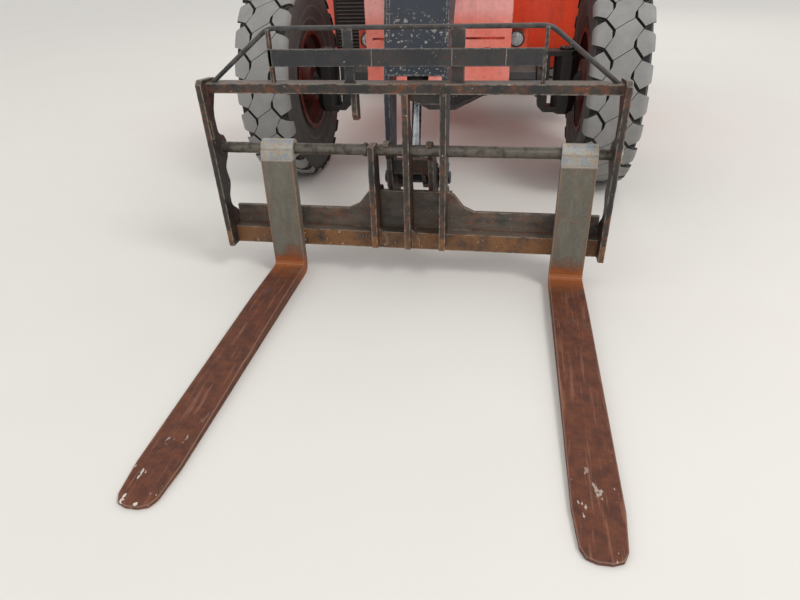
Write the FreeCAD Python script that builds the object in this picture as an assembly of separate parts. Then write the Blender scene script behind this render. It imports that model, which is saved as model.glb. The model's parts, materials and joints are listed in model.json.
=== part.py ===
import FreeCAD, Part

import math
import os

# Telehandler with a fork carriage, in millimetres.
# +X is the machine's left, +Y its rear, +Z up; the ground is z 0 and the origin lies under its middle.
V = FreeCAD.Vector

# Stance
WHEELBASE = 3300
FRONT_AXLE_Y = -483
FORK_FACE_FORWARD = 1660
REAR_OVERHANG = 850
OVERALL_WIDTH = 2440
PIN_GAP = 0.3
SLIDE_GAP = 5
PAD_GAP = 0.5
CHORD_TURN = 40

# Wheels
TYRE_RADIUS = 645
TYRE_WIDTH = 340
BEAD_RADIUS = 313
BEAD_HALF_WIDTH = 128
RIM_WALL = 14
RIM_FLANGE = 18
HUB_RADIUS = 150
HUB_LENGTH = 250
DISC_THICKNESS = 16
RIM_FLATS = 16
TREAD_PITCHES = 16
BEAD_ROOM = 8
FLANGE_WIDTH = 11
NOTCH_WIDTH = 38
NOTCH_LENGTH = 75
NOTCH_DEPTH = 26
SPINDLE_RADIUS = 60

# Axles
KINGPIN_SET_IN = 250
KNUCKLE_RADIUS = 75
KNUCKLE_HEIGHT = 320
STEER_ARM = 230
YOKE_PLATE = 30
AXLE_TUBE_RADIUS = 85
DIFFERENTIAL_RADIUS = 185
AXLE_PAD_DEPTH = 110

# Chassis
FRAME_HALF_GAP = 235
FRAME_PLATE = 25
FRAME_TOP_Z = 1000
FRAME_BELLY_Z = 560
BELLY_PLATE = 20
FRAME_FRONT_Y = -819
FRONT_PLATE_THICKNESS = 24
FRONT_PLATE_HALF_WIDTH = 440
FRONT_PLATE_BOTTOM_Z = 660
FRONT_PLATE_TOP_Z = 1240
TOW_HOLE_X = 300
TOW_HOLE_Z = 872
TOW_HOLE_RADIUS = 30
AXLE_ARCH_HALF = 230
AXLE_ARCH_Z = 860
OUTRIGGER_DEPTH = 80
COUNTERWEIGHT_HALF_WIDTH = 480
COUNTERWEIGHT_BOTTOM_Z = 620
COUNTERWEIGHT_TOP_Z = 1150

# Boom, three nested box sections on one slope
BOOM_PIVOT_Y = 2950
BOOM_PIVOT_Z = 2080
BOOM_SLOPE = 8
BOOM_PIN_RADIUS = 45
BOOM_BOSS_RADIUS = 85
OUTER_WIDTH = 420
OUTER_HEIGHT = 520
OUTER_WALL = 12
OUTER_REAR = -150
OUTER_FRONT = 3950
MID_WIDTH = 356
MID_HEIGHT = 440
MID_REAR = 300
MID_FRONT = 4090
INNER_WIDTH = 300
INNER_HEIGHT = 370
INNER_REAR = 500
INNER_FRONT = 4350
BOOM_COLLAR = 16
BOOM_COLLAR_LENGTH = 90
PAD_LENGTH = 160

# Nose and fork coupler
NOSE_PLATE = 25
NOSE_TOP_Y = -1640
NOSE_TOP_Z = 1600
NOSE_CHIN_Y = -1830
NOSE_CHIN_Z = 850
TILT_PIVOT_Y = -1760
TILT_PIVOT_Z = 400
TILT_PIN_RADIUS = 30
NOSE_TIP_RADIUS = 72
TILT_BASE_Y = -1540
TILT_BASE_Z = 1480
TILT_ARM = 130
TILT_ARM_ANGLE = 133
COUPLER_PLATE = 25
COUPLER_HALF_WIDTH = 110

# Fork carriage
CARRIAGE_HALF_WIDTH = 914
SIDE_PLATE = 26
RAIL_DEPTH = 88
RAIL_HEIGHT = 41
RAIL_TOP_Z = 933
BAR_DEPTH = 88
BAR_HEIGHT = 85
BAR_TOP_Z = 230
BACK_PLATE = 20
BACK_PLATE_TOP_Z = 325
BACK_PLATE_PEAK_Z = 420
RIB_THICKNESS = 28
RIB_BOTTOM_Z = 168
SHAFT_RADIUS = 25.4
SHAFT_FLAT_COUNT = 12
SHAFT_SET_BACK = 60
SHAFT_Z = 632
LOCK_PIN_SET_BACK = 168
LOCK_PIN_Z = 385
LOCK_PIN_RADIUS = 20
BACKREST_TOP_Z = 1160
BACKREST_HALF_WIDTH = 592
BACKREST_BAR = 32

# Forks
FORK_LENGTH = 1524
FORK_WIDTH = 152.4
FORK_THICKNESS = 50
FORK_TIP_THICKNESS = 12
FORK_TIP_WIDTH = 122
FORK_HEEL_RADIUS = 45
FORK_SHOULDER_Z = 592
FORK_EYE_RADIUS = 43
FORK_LEFT_SET_IN = 304
FORK_RIGHT_SET_IN = 159

# Cylinders: barrel radius, rod radius, eye radius, eye width
LIFT_BASE_Y = 2300
LIFT_BASE_Z = 700
LIFT_TOP_Y = 600
LEVEL_BASE_Y = 2649
LEVEL_BASE_Z = 1267
LEVEL_TOP_Y = 1540
LIFT_LUG_DROP = 80
LEVEL_LUG_DROP = 58
LUG_PLATE = 22

# Cab
CAB_INNER_X = 405
CAB_OUTER_X = 1180
CAB_FRONT_Y = 310
CAB_REAR_Y = 1850
CAB_FLOOR_Z = 680
CAB_ROOF_Z = 2540
CAB_WALL = 45
CAB_SCREEN_Z = 1150
DOOR_FRONT_Y = 520
DOOR_REAR_Y = 1420
DOOR_BOTTOM_Z = 740
DOOR_GAP = 5
GLASS_THICKNESS = 6
STEERING_WHEEL_RADIUS = 190
MIRROR_Z = 1500
SEAT_SIDE_ROOM = 105
SEAT_FRONT_SET_BACK = 820
SEAT_HEIGHT = 290
BACKREST_HEIGHT = 600

# Engine pod
POD_INNER_X = -465
POD_OUTER_X = -1100
POD_FRONT_Y = 340
POD_REAR_Y = 1980
POD_FLOOR_Z = 620
POD_TOP_Z = 1290
POD_WALL = 25
HOOD_TOP_Z = 1560
HOOD_GAP = 6
STACK_TOP_Z = 1900
ENGINE_LENGTH = 1000
ENGINE_WIDTH = 420
ENGINE_HEIGHT = 480

# Lamps
HEADLAMP_X = 473
HEADLAMP_Y = -643
HEADLAMP_Z = 920
HEADLAMP_RADIUS = 49

# Door and hood hinges
HINGE_RADIUS = 12
HINGE_LENGTH = 56
DOOR_HINGE_STEP = 13
DOOR_HINGE_HEIGHTS = (1000, 1900)
HOOD_HINGE_DROP = 3

# Worked out from the sizes above
REAR_AXLE_Y = FRONT_AXLE_Y + WHEELBASE
REAR_END_Y = REAR_AXLE_Y + REAR_OVERHANG
FORK_FACE_Y = FRONT_AXLE_Y - FORK_FACE_FORWARD
WHEEL_X = OVERALL_WIDTH / 2 - TYRE_WIDTH / 2
KINGPIN_X = WHEEL_X - KINGPIN_SET_IN
AXLE_Z = TYRE_RADIUS
FRAME_OUTER_X = FRAME_HALF_GAP + FRAME_PLATE
SHAFT_Y = FORK_FACE_Y + SHAFT_SET_BACK
LOCK_PIN_Y = FORK_FACE_Y + LOCK_PIN_SET_BACK
RAIL_FRONT_Y = FORK_FACE_Y - 7
BAR_FRONT_Y = FORK_FACE_Y + FORK_THICKNESS + 1
RAIL_END_X = CARRIAGE_HALF_WIDTH - SIDE_PLATE
FORK_LEFT_X = FORK_LEFT_SET_IN - CARRIAGE_HALF_WIDTH
FORK_RIGHT_X = CARRIAGE_HALF_WIDTH - FORK_RIGHT_SET_IN
DOOR_HINGE_X = CAB_OUTER_X + DOOR_HINGE_STEP
HOOD_HINGE_X = POD_INNER_X + DOOR_HINGE_STEP
HOOD_HINGE_Z = POD_TOP_Z + HOOD_HINGE_DROP
HOOD_HINGE_PLACES = (POD_FRONT_Y + 300, POD_REAR_Y - 300)


def corner_points(points):
    """Points of a closed outline from corners (u, v), rounded (u, v, radius) or cut off (u, v, -length)."""
    line = []
    count = len(points)
    for i in range(count):
        u, v = points[i][:2]
        size = points[i][2] if len(points[i]) > 2 else 0
        before = points[i - 1]
        after = points[(i + 1) % count]
        a = V(before[0] - u, before[1] - v, 0)
        b = V(after[0] - u, after[1] - v, 0)
        a.normalize()
        b.normalize()
        corner = V(u, v, 0)
        if size == 0:
            line.append(corner)
            continue
        if size < 0:
            line += [corner - a * size, corner - b * size]
            continue
        half = a.getAngle(b) / 2
        centre = corner + (a + b).normalize() * (size / math.sin(half))
        first = corner + a * (size / math.tan(half)) - centre
        turn = math.pi - 2 * half
        chords = max(1, round(turn / math.radians(CHORD_TURN)))
        if a.cross(b).z > 0:
            turn = -turn
        for k in range(chords + 1):
            angle = turn * k / chords
            line.append(centre + V(first.x * math.cos(angle) - first.y * math.sin(angle),
                                   first.x * math.sin(angle) + first.y * math.cos(angle), 0))
    return line


def outline(points, place):
    """A closed wire of straight sides; place turns (u, v) into a point in space."""
    corners = []
    for p in corner_points(points):
        corner = place(p.x, p.y)
        if not corners or corner.distanceToPoint(corners[-1]) > 0.01:
            corners.append(corner)
    return Part.makePolygon(corners + corners[:1])


def plate_x(points, x0, x1):
    """A plate with its outline in (y, z), between two x."""
    face = Part.Face(outline(points, lambda y, z: V(x0, y, z)))
    return face.extrude(V(x1 - x0, 0, 0))


def plate_y(points, y0, y1):
    """A plate with its outline in (x, z), between two y."""
    face = Part.Face(outline(points, lambda x, z: V(x, y0, z)))
    return face.extrude(V(0, y1 - y0, 0))


def plate_z(points, z0, z1):
    """A plate with its outline in (x, y), between two z."""
    face = Part.Face(outline(points, lambda x, y: V(x, y, z0)))
    return face.extrude(V(0, 0, z1 - z0))


def block(x0, x1, y0, y1, z0, z1):
    return Part.makeBox(x1 - x0, y1 - y0, z1 - z0, V(x0, y0, z0))


def bar_x(y, z, radius, x0, x1):
    return Part.makeCylinder(radius, x1 - x0, V(x0, y, z), V(1, 0, 0))


def bar_y(x, z, radius, y0, y1):
    return Part.makeCylinder(radius, y1 - y0, V(x, y0, z), V(0, 1, 0))


def bar_z(x, y, radius, z0, z1):
    return Part.makeCylinder(radius, z1 - z0, V(x, y, z0), V(0, 0, 1))


def flats_round(u, v, radius, count):
    """Corners of a regular outline about (u, v) whose flats lie at the radius."""
    step = 2 * math.pi / count
    reach = radius / math.cos(step / 2)
    return [(u + reach * math.cos(step * (i + 0.5)), v + reach * math.sin(step * (i + 0.5)))
            for i in range(count)]


def prism_x(y, z, radius, x0, x1, count):
    return plate_x(flats_round(y, z, radius, count), x0, x1)


def prism_between(start, end, radius, count):
    """A straight bar with a regular section between two points."""
    direction = end - start
    length = direction.Length
    turn = FreeCAD.Rotation(V(0, 0, 1), direction)
    corners = [start + turn.multVec(V(u, v, 0)) for u, v in flats_round(0, 0, radius, count)]
    face = Part.Face(Part.makePolygon(corners + corners[:1]))
    return face.extrude(direction.normalize() * length)


def turned_x(section, y, z, count):
    """A body with flats round the X line at (y, z), from a closed section in (x, radius to the flats)."""
    def corner(x, radius, i):
        angle = 2 * math.pi * (i + 0.5) / count
        reach = radius / math.cos(math.pi / count)
        return V(x, y + reach * math.sin(angle), z - reach * math.cos(angle))

    faces = []
    for k, (x0, r0) in enumerate(section):
        x1, r1 = section[(k + 1) % len(section)]
        if r0 == 0 and r1 == 0:
            continue
        if x0 == x1:
            rings = [Part.makePolygon([corner(x0, r, i) for i in range(count + 1)])
                     for r in (max(r0, r1), min(r0, r1)) if r > 0]
            faces.append(Part.Face(rings))
            continue
        for i in range(count):
            ring = [corner(x0, r0, i), corner(x1, r1, i), corner(x1, r1, i + 1), corner(x0, r0, i + 1)]
            faces.append(Part.Face(Part.makePolygon(ring + ring[:1])))
    solid = Part.Solid(Part.Shell(faces))
    if solid.Volume < 0:
        solid.reverse()
    return solid


def both_sides(shape):
    """The shape and its mirror image across the machine's middle."""
    return [shape, shape.mirror(V(0, 0, 0), V(1, 0, 0))]


def joined(shapes):
    whole = shapes[0].fuse(shapes[1:]) if len(shapes) > 1 else shapes[0]
    return whole.removeSplitter()


def save(name, shape):
    shape.exportStep("parts/" + name + ".step")


def in_boom(shape):
    """Lay a level piece, drawn about the boom pivot, on the boom's slope."""
    tilted = shape.copy()
    tilted.rotate(V(0, BOOM_PIVOT_Y, BOOM_PIVOT_Z), V(1, 0, 0), BOOM_SLOPE)
    return tilted


def boom_point(along, above):
    """World (y, z) of a point along the boom from its pivot and above its middle line."""
    slope = math.radians(BOOM_SLOPE)
    y = BOOM_PIVOT_Y - along * math.cos(slope) - above * math.sin(slope)
    z = BOOM_PIVOT_Z - along * math.sin(slope) + above * math.cos(slope)
    return y, z


def boom_underside(y):
    """Height of the outer section's underside at a world y."""
    slope = math.radians(BOOM_SLOPE)
    return BOOM_PIVOT_Z - (BOOM_PIVOT_Y - y) * math.tan(slope) - OUTER_HEIGHT / 2 / math.cos(slope)


def door_hinge(z):
    """Hinge of the cab door at height z: the shell's two barrels with their straps, and the door's barrel."""
    x, y = DOOR_HINGE_X, DOOR_REAR_Y
    half = HINGE_LENGTH / 2
    wall = CAB_OUTER_X - 1
    fixed = []
    for z0, z1 in ((z - 2 * half, z - half - PIN_GAP), (z + half + PIN_GAP, z + 2 * half)):
        round_part = plate_z(flats_round(x, y, HINGE_RADIUS, 8), z0, z1)
        fixed.append(round_part.fuse(block(wall, x, y, y + 40, z0, z1)))
    barrel = bar_z(x, y, HINGE_RADIUS, z - half, z + half)
    return fixed, barrel.fuse(block(wall, x, y - 50, y, z - half, z + half))


def hood_hinge(y):
    """Hinge of the engine hood at y: the pod's two barrels with their straps, and the hood's barrel."""
    x, z = HOOD_HINGE_X, HOOD_HINGE_Z
    half = HINGE_LENGTH / 2
    wall = POD_INNER_X - 1
    fixed = []
    for y0, y1 in ((y - 2 * half, y - half - PIN_GAP), (y + half + PIN_GAP, y + 2 * half)):
        round_part = plate_y(flats_round(x, z, HINGE_RADIUS, 8), y0, y1)
        fixed.append(round_part.fuse(block(wall, x, y0, y1, z - 26, z)))
    barrel = bar_y(x, z, HINGE_RADIUS, y - half, y + half)
    return fixed, barrel.fuse(block(wall, x, y - half, y + half, z, z + 26))


# Wheels

def tyre():
    """Tyre at the machine's middle: bulging casing with notches between its shoulder lugs."""
    half = TYRE_WIDTH / 2
    right = [(0, TYRE_RADIUS), (half - 32, TYRE_RADIUS), (half, TYRE_RADIUS - 45), (half, BEAD_RADIUS + 130),
             (BEAD_HALF_WIDTH, BEAD_RADIUS)]
    section = [(-x, r) for x, r in reversed(right[1:])] + right[1:]
    casing = turned_x(section, 0, 0, 2 * TREAD_PITCHES)
    notches = []
    for i in range(TREAD_PITCHES):
        for side in (-1, 1):
            notch = block(-NOTCH_WIDTH / 2, NOTCH_WIDTH / 2, half - NOTCH_LENGTH, half + 1,
                          TYRE_RADIUS - NOTCH_DEPTH, TYRE_RADIUS + 10)
            notch.rotate(V(0, 0, 0), V(0, 0, 1), -90 * side)
            notch.rotate(V(0, 0, 0), V(1, 0, 0), 360 * (i + 0.25 + side * 0.25) / TREAD_PITCHES)
            notches.append(notch)
    return casing.cut(notches)


def rim():
    """Rim of the left side at the machine's middle: flanges, sloping well, disc and planetary hub."""
    seat = (BEAD_RADIUS - PIN_GAP) * math.cos(math.pi / RIM_FLATS)
    lip = seat + RIM_FLANGE
    mouth = seat - RIM_WALL
    inside = BEAD_HALF_WIDTH + BEAD_ROOM
    edge = inside + FLANGE_WIDTH
    well = seat - 50
    dish = 20
    front = dish + DISC_THICKNESS
    bore = SPINDLE_RADIUS + PIN_GAP
    back = -HUB_LENGTH / 2 - 30
    section = [(-edge, mouth), (-edge, lip), (-inside, lip), (-inside, seat), (inside, seat), (inside, lip),
               (edge, lip), (edge, mouth), (front, well), (front, HUB_RADIUS), (110, HUB_RADIUS - 55), (110, 0),
               (30, 0), (30, bore), (back, bore), (back, HUB_RADIUS - 15), (dish, HUB_RADIUS - 15),
               (dish, well)]
    return turned_x(section, 0, 0, RIM_FLATS)


def knuckle(side, y_axle):
    """Steering knuckle with its spindle and steering arm."""
    low = AXLE_Z - KNUCKLE_HEIGHT / 2
    high = AXLE_Z + KNUCKLE_HEIGHT / 2
    body = plate_z(flats_round(KINGPIN_X, y_axle, KNUCKLE_RADIUS, 8), low, high)
    spindle = bar_x(y_axle, AXLE_Z, SPINDLE_RADIUS, KINGPIN_X, WHEEL_X + 25)
    toward_middle = 1 if y_axle == FRONT_AXLE_Y else -1
    arm_end = y_axle + toward_middle * STEER_ARM
    arm = plate_z([(KINGPIN_X - 30, y_axle), (KINGPIN_X + 50, y_axle), (KINGPIN_X + 20, arm_end),
                   (KINGPIN_X - 30, arm_end)], low + 15, low + 45)
    shape = joined([body, spindle, arm])
    return shape if side > 0 else shape.mirror(V(0, 0, 0), V(1, 0, 0))


def axle(y_axle):
    """Axle beam with its differential housing, frame pads, end yokes and kingpin caps."""
    end = KINGPIN_X - KNUCKLE_RADIUS - 60
    body = [(-end, 0), (-end, AXLE_TUBE_RADIUS), (-300, AXLE_TUBE_RADIUS), (-90, DIFFERENTIAL_RADIUS),
            (90, DIFFERENTIAL_RADIUS), (300, AXLE_TUBE_RADIUS), (end, AXLE_TUBE_RADIUS), (end, 0)]
    pieces = [turned_x(body, y_axle, AXLE_Z, 12)]
    gap = KNUCKLE_HEIGHT / 2 + PIN_GAP
    reach = gap + YOKE_PLATE
    root = KINGPIN_X - KNUCKLE_RADIUS - 90
    web = KINGPIN_X - KNUCKLE_RADIUS - 30
    tip = KINGPIN_X + 70
    yoke = plate_y([(root, AXLE_Z - reach, -40), (tip, AXLE_Z - reach), (tip, AXLE_Z - gap),
                    (web, AXLE_Z - gap), (web, AXLE_Z + gap), (tip, AXLE_Z + gap),
                    (tip, AXLE_Z + reach), (root, AXLE_Z + reach, -40)],
                   y_axle - 70, y_axle + 70)
    plan = plate_z([(root - 1, y_axle - 70), (tip, y_axle - 70, -45), (tip, y_axle + 70, -45),
                    (root - 1, y_axle + 70)],
                   AXLE_Z - reach - 1, AXLE_Z + reach + 1)
    pieces += both_sides(yoke.common(plan))
    cap = 16
    pieces += both_sides(bar_z(KINGPIN_X, y_axle, 48, AXLE_Z + reach, AXLE_Z + reach + cap))
    pieces += both_sides(plate_z(flats_round(KINGPIN_X, y_axle, 48, 8), AXLE_Z - reach - cap, AXLE_Z - reach))
    pad = block(FRAME_HALF_GAP - 20, FRAME_OUTER_X + 20, y_axle - AXLE_PAD_DEPTH, y_axle + AXLE_PAD_DEPTH,
                AXLE_Z, AXLE_ARCH_Z)
    pieces += both_sides(pad)
    return joined(pieces)


# Chassis

def frame_outline():
    arch = AXLE_ARCH_HALF
    tower_top = BOOM_PIVOT_Z + 110
    return [(FRAME_FRONT_Y, FRONT_PLATE_BOTTOM_Z), (FRONT_AXLE_Y - arch - 40, FRONT_PLATE_BOTTOM_Z),
            (FRONT_AXLE_Y - arch + 20, AXLE_ARCH_Z, -40), (FRONT_AXLE_Y + arch, AXLE_ARCH_Z, -40),
            (FRONT_AXLE_Y + arch + 90, FRAME_BELLY_Z), (REAR_AXLE_Y - arch - 90, FRAME_BELLY_Z),
            (REAR_AXLE_Y - arch, AXLE_ARCH_Z, -40), (REAR_AXLE_Y + arch, AXLE_ARCH_Z, -40),
            (REAR_AXLE_Y + arch + 60, COUNTERWEIGHT_BOTTOM_Z), (REAR_END_Y - 190, COUNTERWEIGHT_BOTTOM_Z),
            (REAR_END_Y - 190, COUNTERWEIGHT_TOP_Z), (BOOM_PIVOT_Y + 330, 1400, -80),
            (BOOM_PIVOT_Y + 130, tower_top, 110), (BOOM_PIVOT_Y - 130, tower_top, 110),
            (BOOM_PIVOT_Y - 560, 1400, -100), (BOOM_PIVOT_Y - 900, FRAME_TOP_Z, -100),
            (FRONT_AXLE_Y + 700, FRAME_TOP_Z), (FRAME_FRONT_Y, FRONT_PLATE_TOP_Z - 40)]


def chassis_frame():
    """Two deep side plates with boom towers, belly plate, cross tubes, outriggers and the pins they carry."""
    side = plate_x(frame_outline(), FRAME_HALF_GAP, FRAME_OUTER_X)
    pieces = both_sides(side)
    belly_front = FRONT_AXLE_Y + AXLE_ARCH_HALF + 170
    belly_rear = REAR_AXLE_Y - AXLE_ARCH_HALF - 170
    inside = FRAME_HALF_GAP
    pieces.append(block(-inside, inside, belly_front, belly_rear, FRAME_BELLY_Z, FRAME_BELLY_Z + BELLY_PLATE))
    for y, z in ((FRONT_AXLE_Y - 60, 930), (FRONT_AXLE_Y + 420, 800), (REAR_AXLE_Y + 330, 900)):
        pieces.append(block(-inside, inside, y - 50, y + 50, z - 50, z + 50))
    pieces.append(bar_x(LIFT_BASE_Y, LIFT_BASE_Z, 35, -inside, inside))
    pieces.append(bar_x(LEVEL_BASE_Y, LEVEL_BASE_Z, 25, -inside, inside))
    pieces.append(bar_x(BOOM_PIVOT_Y, BOOM_PIVOT_Z, BOOM_PIN_RADIUS, -inside, inside))
    pin_head = prism_x(BOOM_PIVOT_Y, BOOM_PIVOT_Z, BOOM_PIN_RADIUS, FRAME_OUTER_X, FRAME_OUTER_X + 30, 12)
    pieces += both_sides(pin_head)
    for y in (CAB_FRONT_Y + 130, CAB_FRONT_Y + 690):
        pieces.append(block(FRAME_OUTER_X, CAB_OUTER_X - 200, y, y + OUTRIGGER_DEPTH, CAB_FLOOR_Z - 80,
                            CAB_FLOOR_Z))
    for y in (POD_FRONT_Y + 100, POD_REAR_Y - 250):
        pieces.append(block(POD_OUTER_X + 150, -FRAME_OUTER_X, y, y + OUTRIGGER_DEPTH, POD_FLOOR_Z - 60,
                            POD_FLOOR_Z))
    return joined(pieces)


def front_plate():
    """Upright plate across the chassis front, with its slots and tow holes."""
    w = FRONT_PLATE_HALF_WIDTH
    y0 = FRAME_FRONT_Y - FRONT_PLATE_THICKNESS
    plate = plate_y([(-w, FRONT_PLATE_BOTTOM_Z, -40), (w, FRONT_PLATE_BOTTOM_Z), (w, FRONT_PLATE_TOP_Z, -25),
                     (-w, FRONT_PLATE_TOP_Z, -25)], y0, FRAME_FRONT_Y)
    cuts = []
    for x0, x1 in ((-400, -170), (170, 400)):
        cuts.append(block(x0, x1, y0 - 1, FRAME_FRONT_Y + 1, 944, 956))
    for x in (-TOW_HOLE_X, TOW_HOLE_X):
        cuts.append(bar_y(x, TOW_HOLE_Z, TOW_HOLE_RADIUS, y0 - 1, FRAME_FRONT_Y + 1))
    return plate.cut(cuts)


def counterweight():
    w = COUNTERWEIGHT_HALF_WIDTH
    y0 = REAR_END_Y - 190
    outline_yz = [(y0, COUNTERWEIGHT_BOTTOM_Z), (REAR_END_Y - 40, COUNTERWEIGHT_BOTTOM_Z),
                  (REAR_END_Y, COUNTERWEIGHT_BOTTOM_Z + 120, -30), (REAR_END_Y, COUNTERWEIGHT_TOP_Z - 60, 60),
                  (REAR_END_Y - 70, COUNTERWEIGHT_TOP_Z), (y0, COUNTERWEIGHT_TOP_Z)]
    weight = plate_x(outline_yz, -w, w)
    pocket = block(-130, 130, REAR_END_Y - 90, REAR_END_Y + 1, 760, 900)
    return weight.cut(pocket)


def fuel_tank():
    z1 = CAB_FLOOR_Z - 5
    return plate_y([(FRAME_OUTER_X, 515), (CAB_OUTER_X - 170, 515, 50), (CAB_OUTER_X - 170, z1, -20),
                    (FRAME_OUTER_X, z1)], CAB_FRONT_Y + 800, CAB_REAR_Y)


def cab_step():
    """Two treads on side hangers under the door."""
    x0, x1 = CAB_OUTER_X - 110, CAB_OUTER_X + 20
    y0, y1 = DOOR_FRONT_Y + 200, DOOR_FRONT_Y + 600
    pieces = [block(x0, x1, y0 + 10, y1 - 10, z, z + 25) for z in (390, 560)]
    for y in (y0, y1 - 10):
        pieces.append(plate_x([(y, 380), (y + 10, 380), (y + 10, CAB_FLOOR_Z), (y, CAB_FLOOR_Z)], x0, x1))
    return joined(pieces)


# Cab

def cab_side():
    """The cab seen from its side, in (y, z)."""
    return [(CAB_FRONT_Y, CAB_FLOOR_Z, -30), (CAB_REAR_Y, CAB_FLOOR_Z, -30), (CAB_REAR_Y, 1500, -40),
            (CAB_REAR_Y - 90, CAB_ROOF_Z, 90), (CAB_FRONT_Y + 230, CAB_ROOF_Z, 120),
            (CAB_FRONT_Y, CAB_SCREEN_Z)]


def cab_inside():
    wall = CAB_WALL
    return [(CAB_FRONT_Y + wall, CAB_FLOOR_Z + wall), (CAB_REAR_Y - wall, CAB_FLOOR_Z + wall),
            (CAB_REAR_Y - wall, 1500), (CAB_REAR_Y - wall - 84, CAB_ROOF_Z - wall, -30),
            (CAB_FRONT_Y + 230 + wall, CAB_ROOF_Z - wall, -50), (CAB_FRONT_Y + wall, CAB_SCREEN_Z)]


def door_outline(gap):
    """Door seen from the side; gap shrinks it all round."""
    return [(DOOR_FRONT_Y + gap, DOOR_BOTTOM_Z + gap, -30), (DOOR_REAR_Y - gap, DOOR_BOTTOM_Z + gap, -30),
            (DOOR_REAR_Y - gap, CAB_ROOF_Z - 110 - gap, -30),
            (DOOR_FRONT_Y + 120 + gap, CAB_ROOF_Z - 110 - gap, -40), (DOOR_FRONT_Y + gap, 1750)]


def pane_outlines():
    """Openings of the cab's fixed windows: name, plane and outline."""
    screen_low, screen_high = CAB_SCREEN_Z + 60, CAB_ROOF_Z - 130
    window_top = CAB_ROOF_Z - 150
    x0, x1 = CAB_INNER_X + 60, CAB_OUTER_X - 60
    return {
        "front": [(x0, screen_low, -25), (x1, screen_low, -25), (x1, screen_high, -25), (x0, screen_high, -25)],
        "rear": [(x0, 1350, -25), (x1, 1350, -25), (x1, window_top, -25), (x0, window_top, -25)],
        "boom side": [(CAB_FRONT_Y + 330, 1350, -25), (CAB_REAR_Y - 170, 1350, -25),
                      (CAB_REAR_Y - 230, window_top, -25), (CAB_FRONT_Y + 400, window_top, -25)],
        "rear quarter": [(DOOR_REAR_Y + 90, 1350, -20), (CAB_REAR_Y - 110, 1350, -20),
                         (CAB_REAR_Y - 170, window_top, -20), (DOOR_REAR_Y + 90, window_top, -20)],
        "roof": [(x0 + 40, CAB_FRONT_Y + 480), (x1 - 40, CAB_FRONT_Y + 480), (x1 - 40, CAB_REAR_Y - 420),
                 (x0 + 40, CAB_REAR_Y - 420)],
    }


def window_cuts():
    panes = pane_outlines()
    return [plate_y(panes["front"], CAB_FRONT_Y - 10, CAB_FRONT_Y + 420),
            plate_y(panes["rear"], CAB_REAR_Y - 200, CAB_REAR_Y + 10),
            plate_x(panes["boom side"], CAB_INNER_X - 1, CAB_INNER_X + CAB_WALL + 1),
            plate_x(panes["rear quarter"], CAB_OUTER_X - CAB_WALL - 1, CAB_OUTER_X + 1),
            plate_z(panes["roof"], CAB_ROOF_Z - CAB_WALL - 1, CAB_ROOF_Z + 1)]


def cab_shell():
    outer = plate_x(cab_side(), CAB_INNER_X, CAB_OUTER_X)
    inner = plate_x(cab_inside(), CAB_INNER_X + CAB_WALL, CAB_OUTER_X - CAB_WALL)
    door_way = plate_x(door_outline(0), CAB_OUTER_X - CAB_WALL - 1, CAB_OUTER_X + 1)
    shell = outer.cut([inner, door_way] + window_cuts())
    return joined([shell] + [piece for z in DOOR_HINGE_HEIGHTS for piece in door_hinge(z)[0]])


def cab_wall_middle(depth):
    """A thin shell midway in the cab's walls, to be cut to the window shapes for the panes."""
    def inset(points, amount):
        grown = []
        middle_y = (CAB_FRONT_Y + CAB_REAR_Y) / 2
        middle_z = (CAB_FLOOR_Z + CAB_ROOF_Z) / 2
        for point in points:
            y = point[0] + (amount if point[0] < middle_y else -amount)
            z = point[1] + (amount if point[1] < middle_z else -amount)
            if point[1] in (CAB_SCREEN_Z, 1500):
                z = point[1]
            grown.append((y, z) + tuple(point[2:]))
        return grown
    outer = plate_x(inset(cab_side(), depth), CAB_INNER_X + depth, CAB_OUTER_X - depth)
    more = depth + GLASS_THICKNESS
    inner = plate_x(inset(cab_side(), more), CAB_INNER_X + more, CAB_OUTER_X - more)
    return outer.cut(inner)


def cab_glass():
    middle = cab_wall_middle(18)
    panes = [middle.common(cut) for cut in window_cuts()]
    return Part.makeCompound([solid for pane in panes for solid in pane.Solids])


def cab_door():
    x0, x1 = CAB_OUTER_X - CAB_WALL, CAB_OUTER_X
    leaf = plate_x(door_outline(DOOR_GAP), x0, x1)
    window = [(DOOR_FRONT_Y + 70, 1180, -25), (DOOR_REAR_Y - 70, 1180, -25),
              (DOOR_REAR_Y - 70, CAB_ROOF_Z - 180, -25),
              (DOOR_FRONT_Y + 175, CAB_ROOF_Z - 180, -25), (DOOR_FRONT_Y + 70, 1760)]
    opening = plate_x(window, x0 - 1, x1 + 1)
    handle = block(x1, x1 + 20, DOOR_FRONT_Y + 60, DOOR_FRONT_Y + 200, 1080, 1110)
    leaf = joined([leaf.cut(opening), handle] + [door_hinge(z)[1] for z in DOOR_HINGE_HEIGHTS])
    return leaf, plate_x(window, x0 + 18, x0 + 18 + GLASS_THICKNESS)


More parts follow.
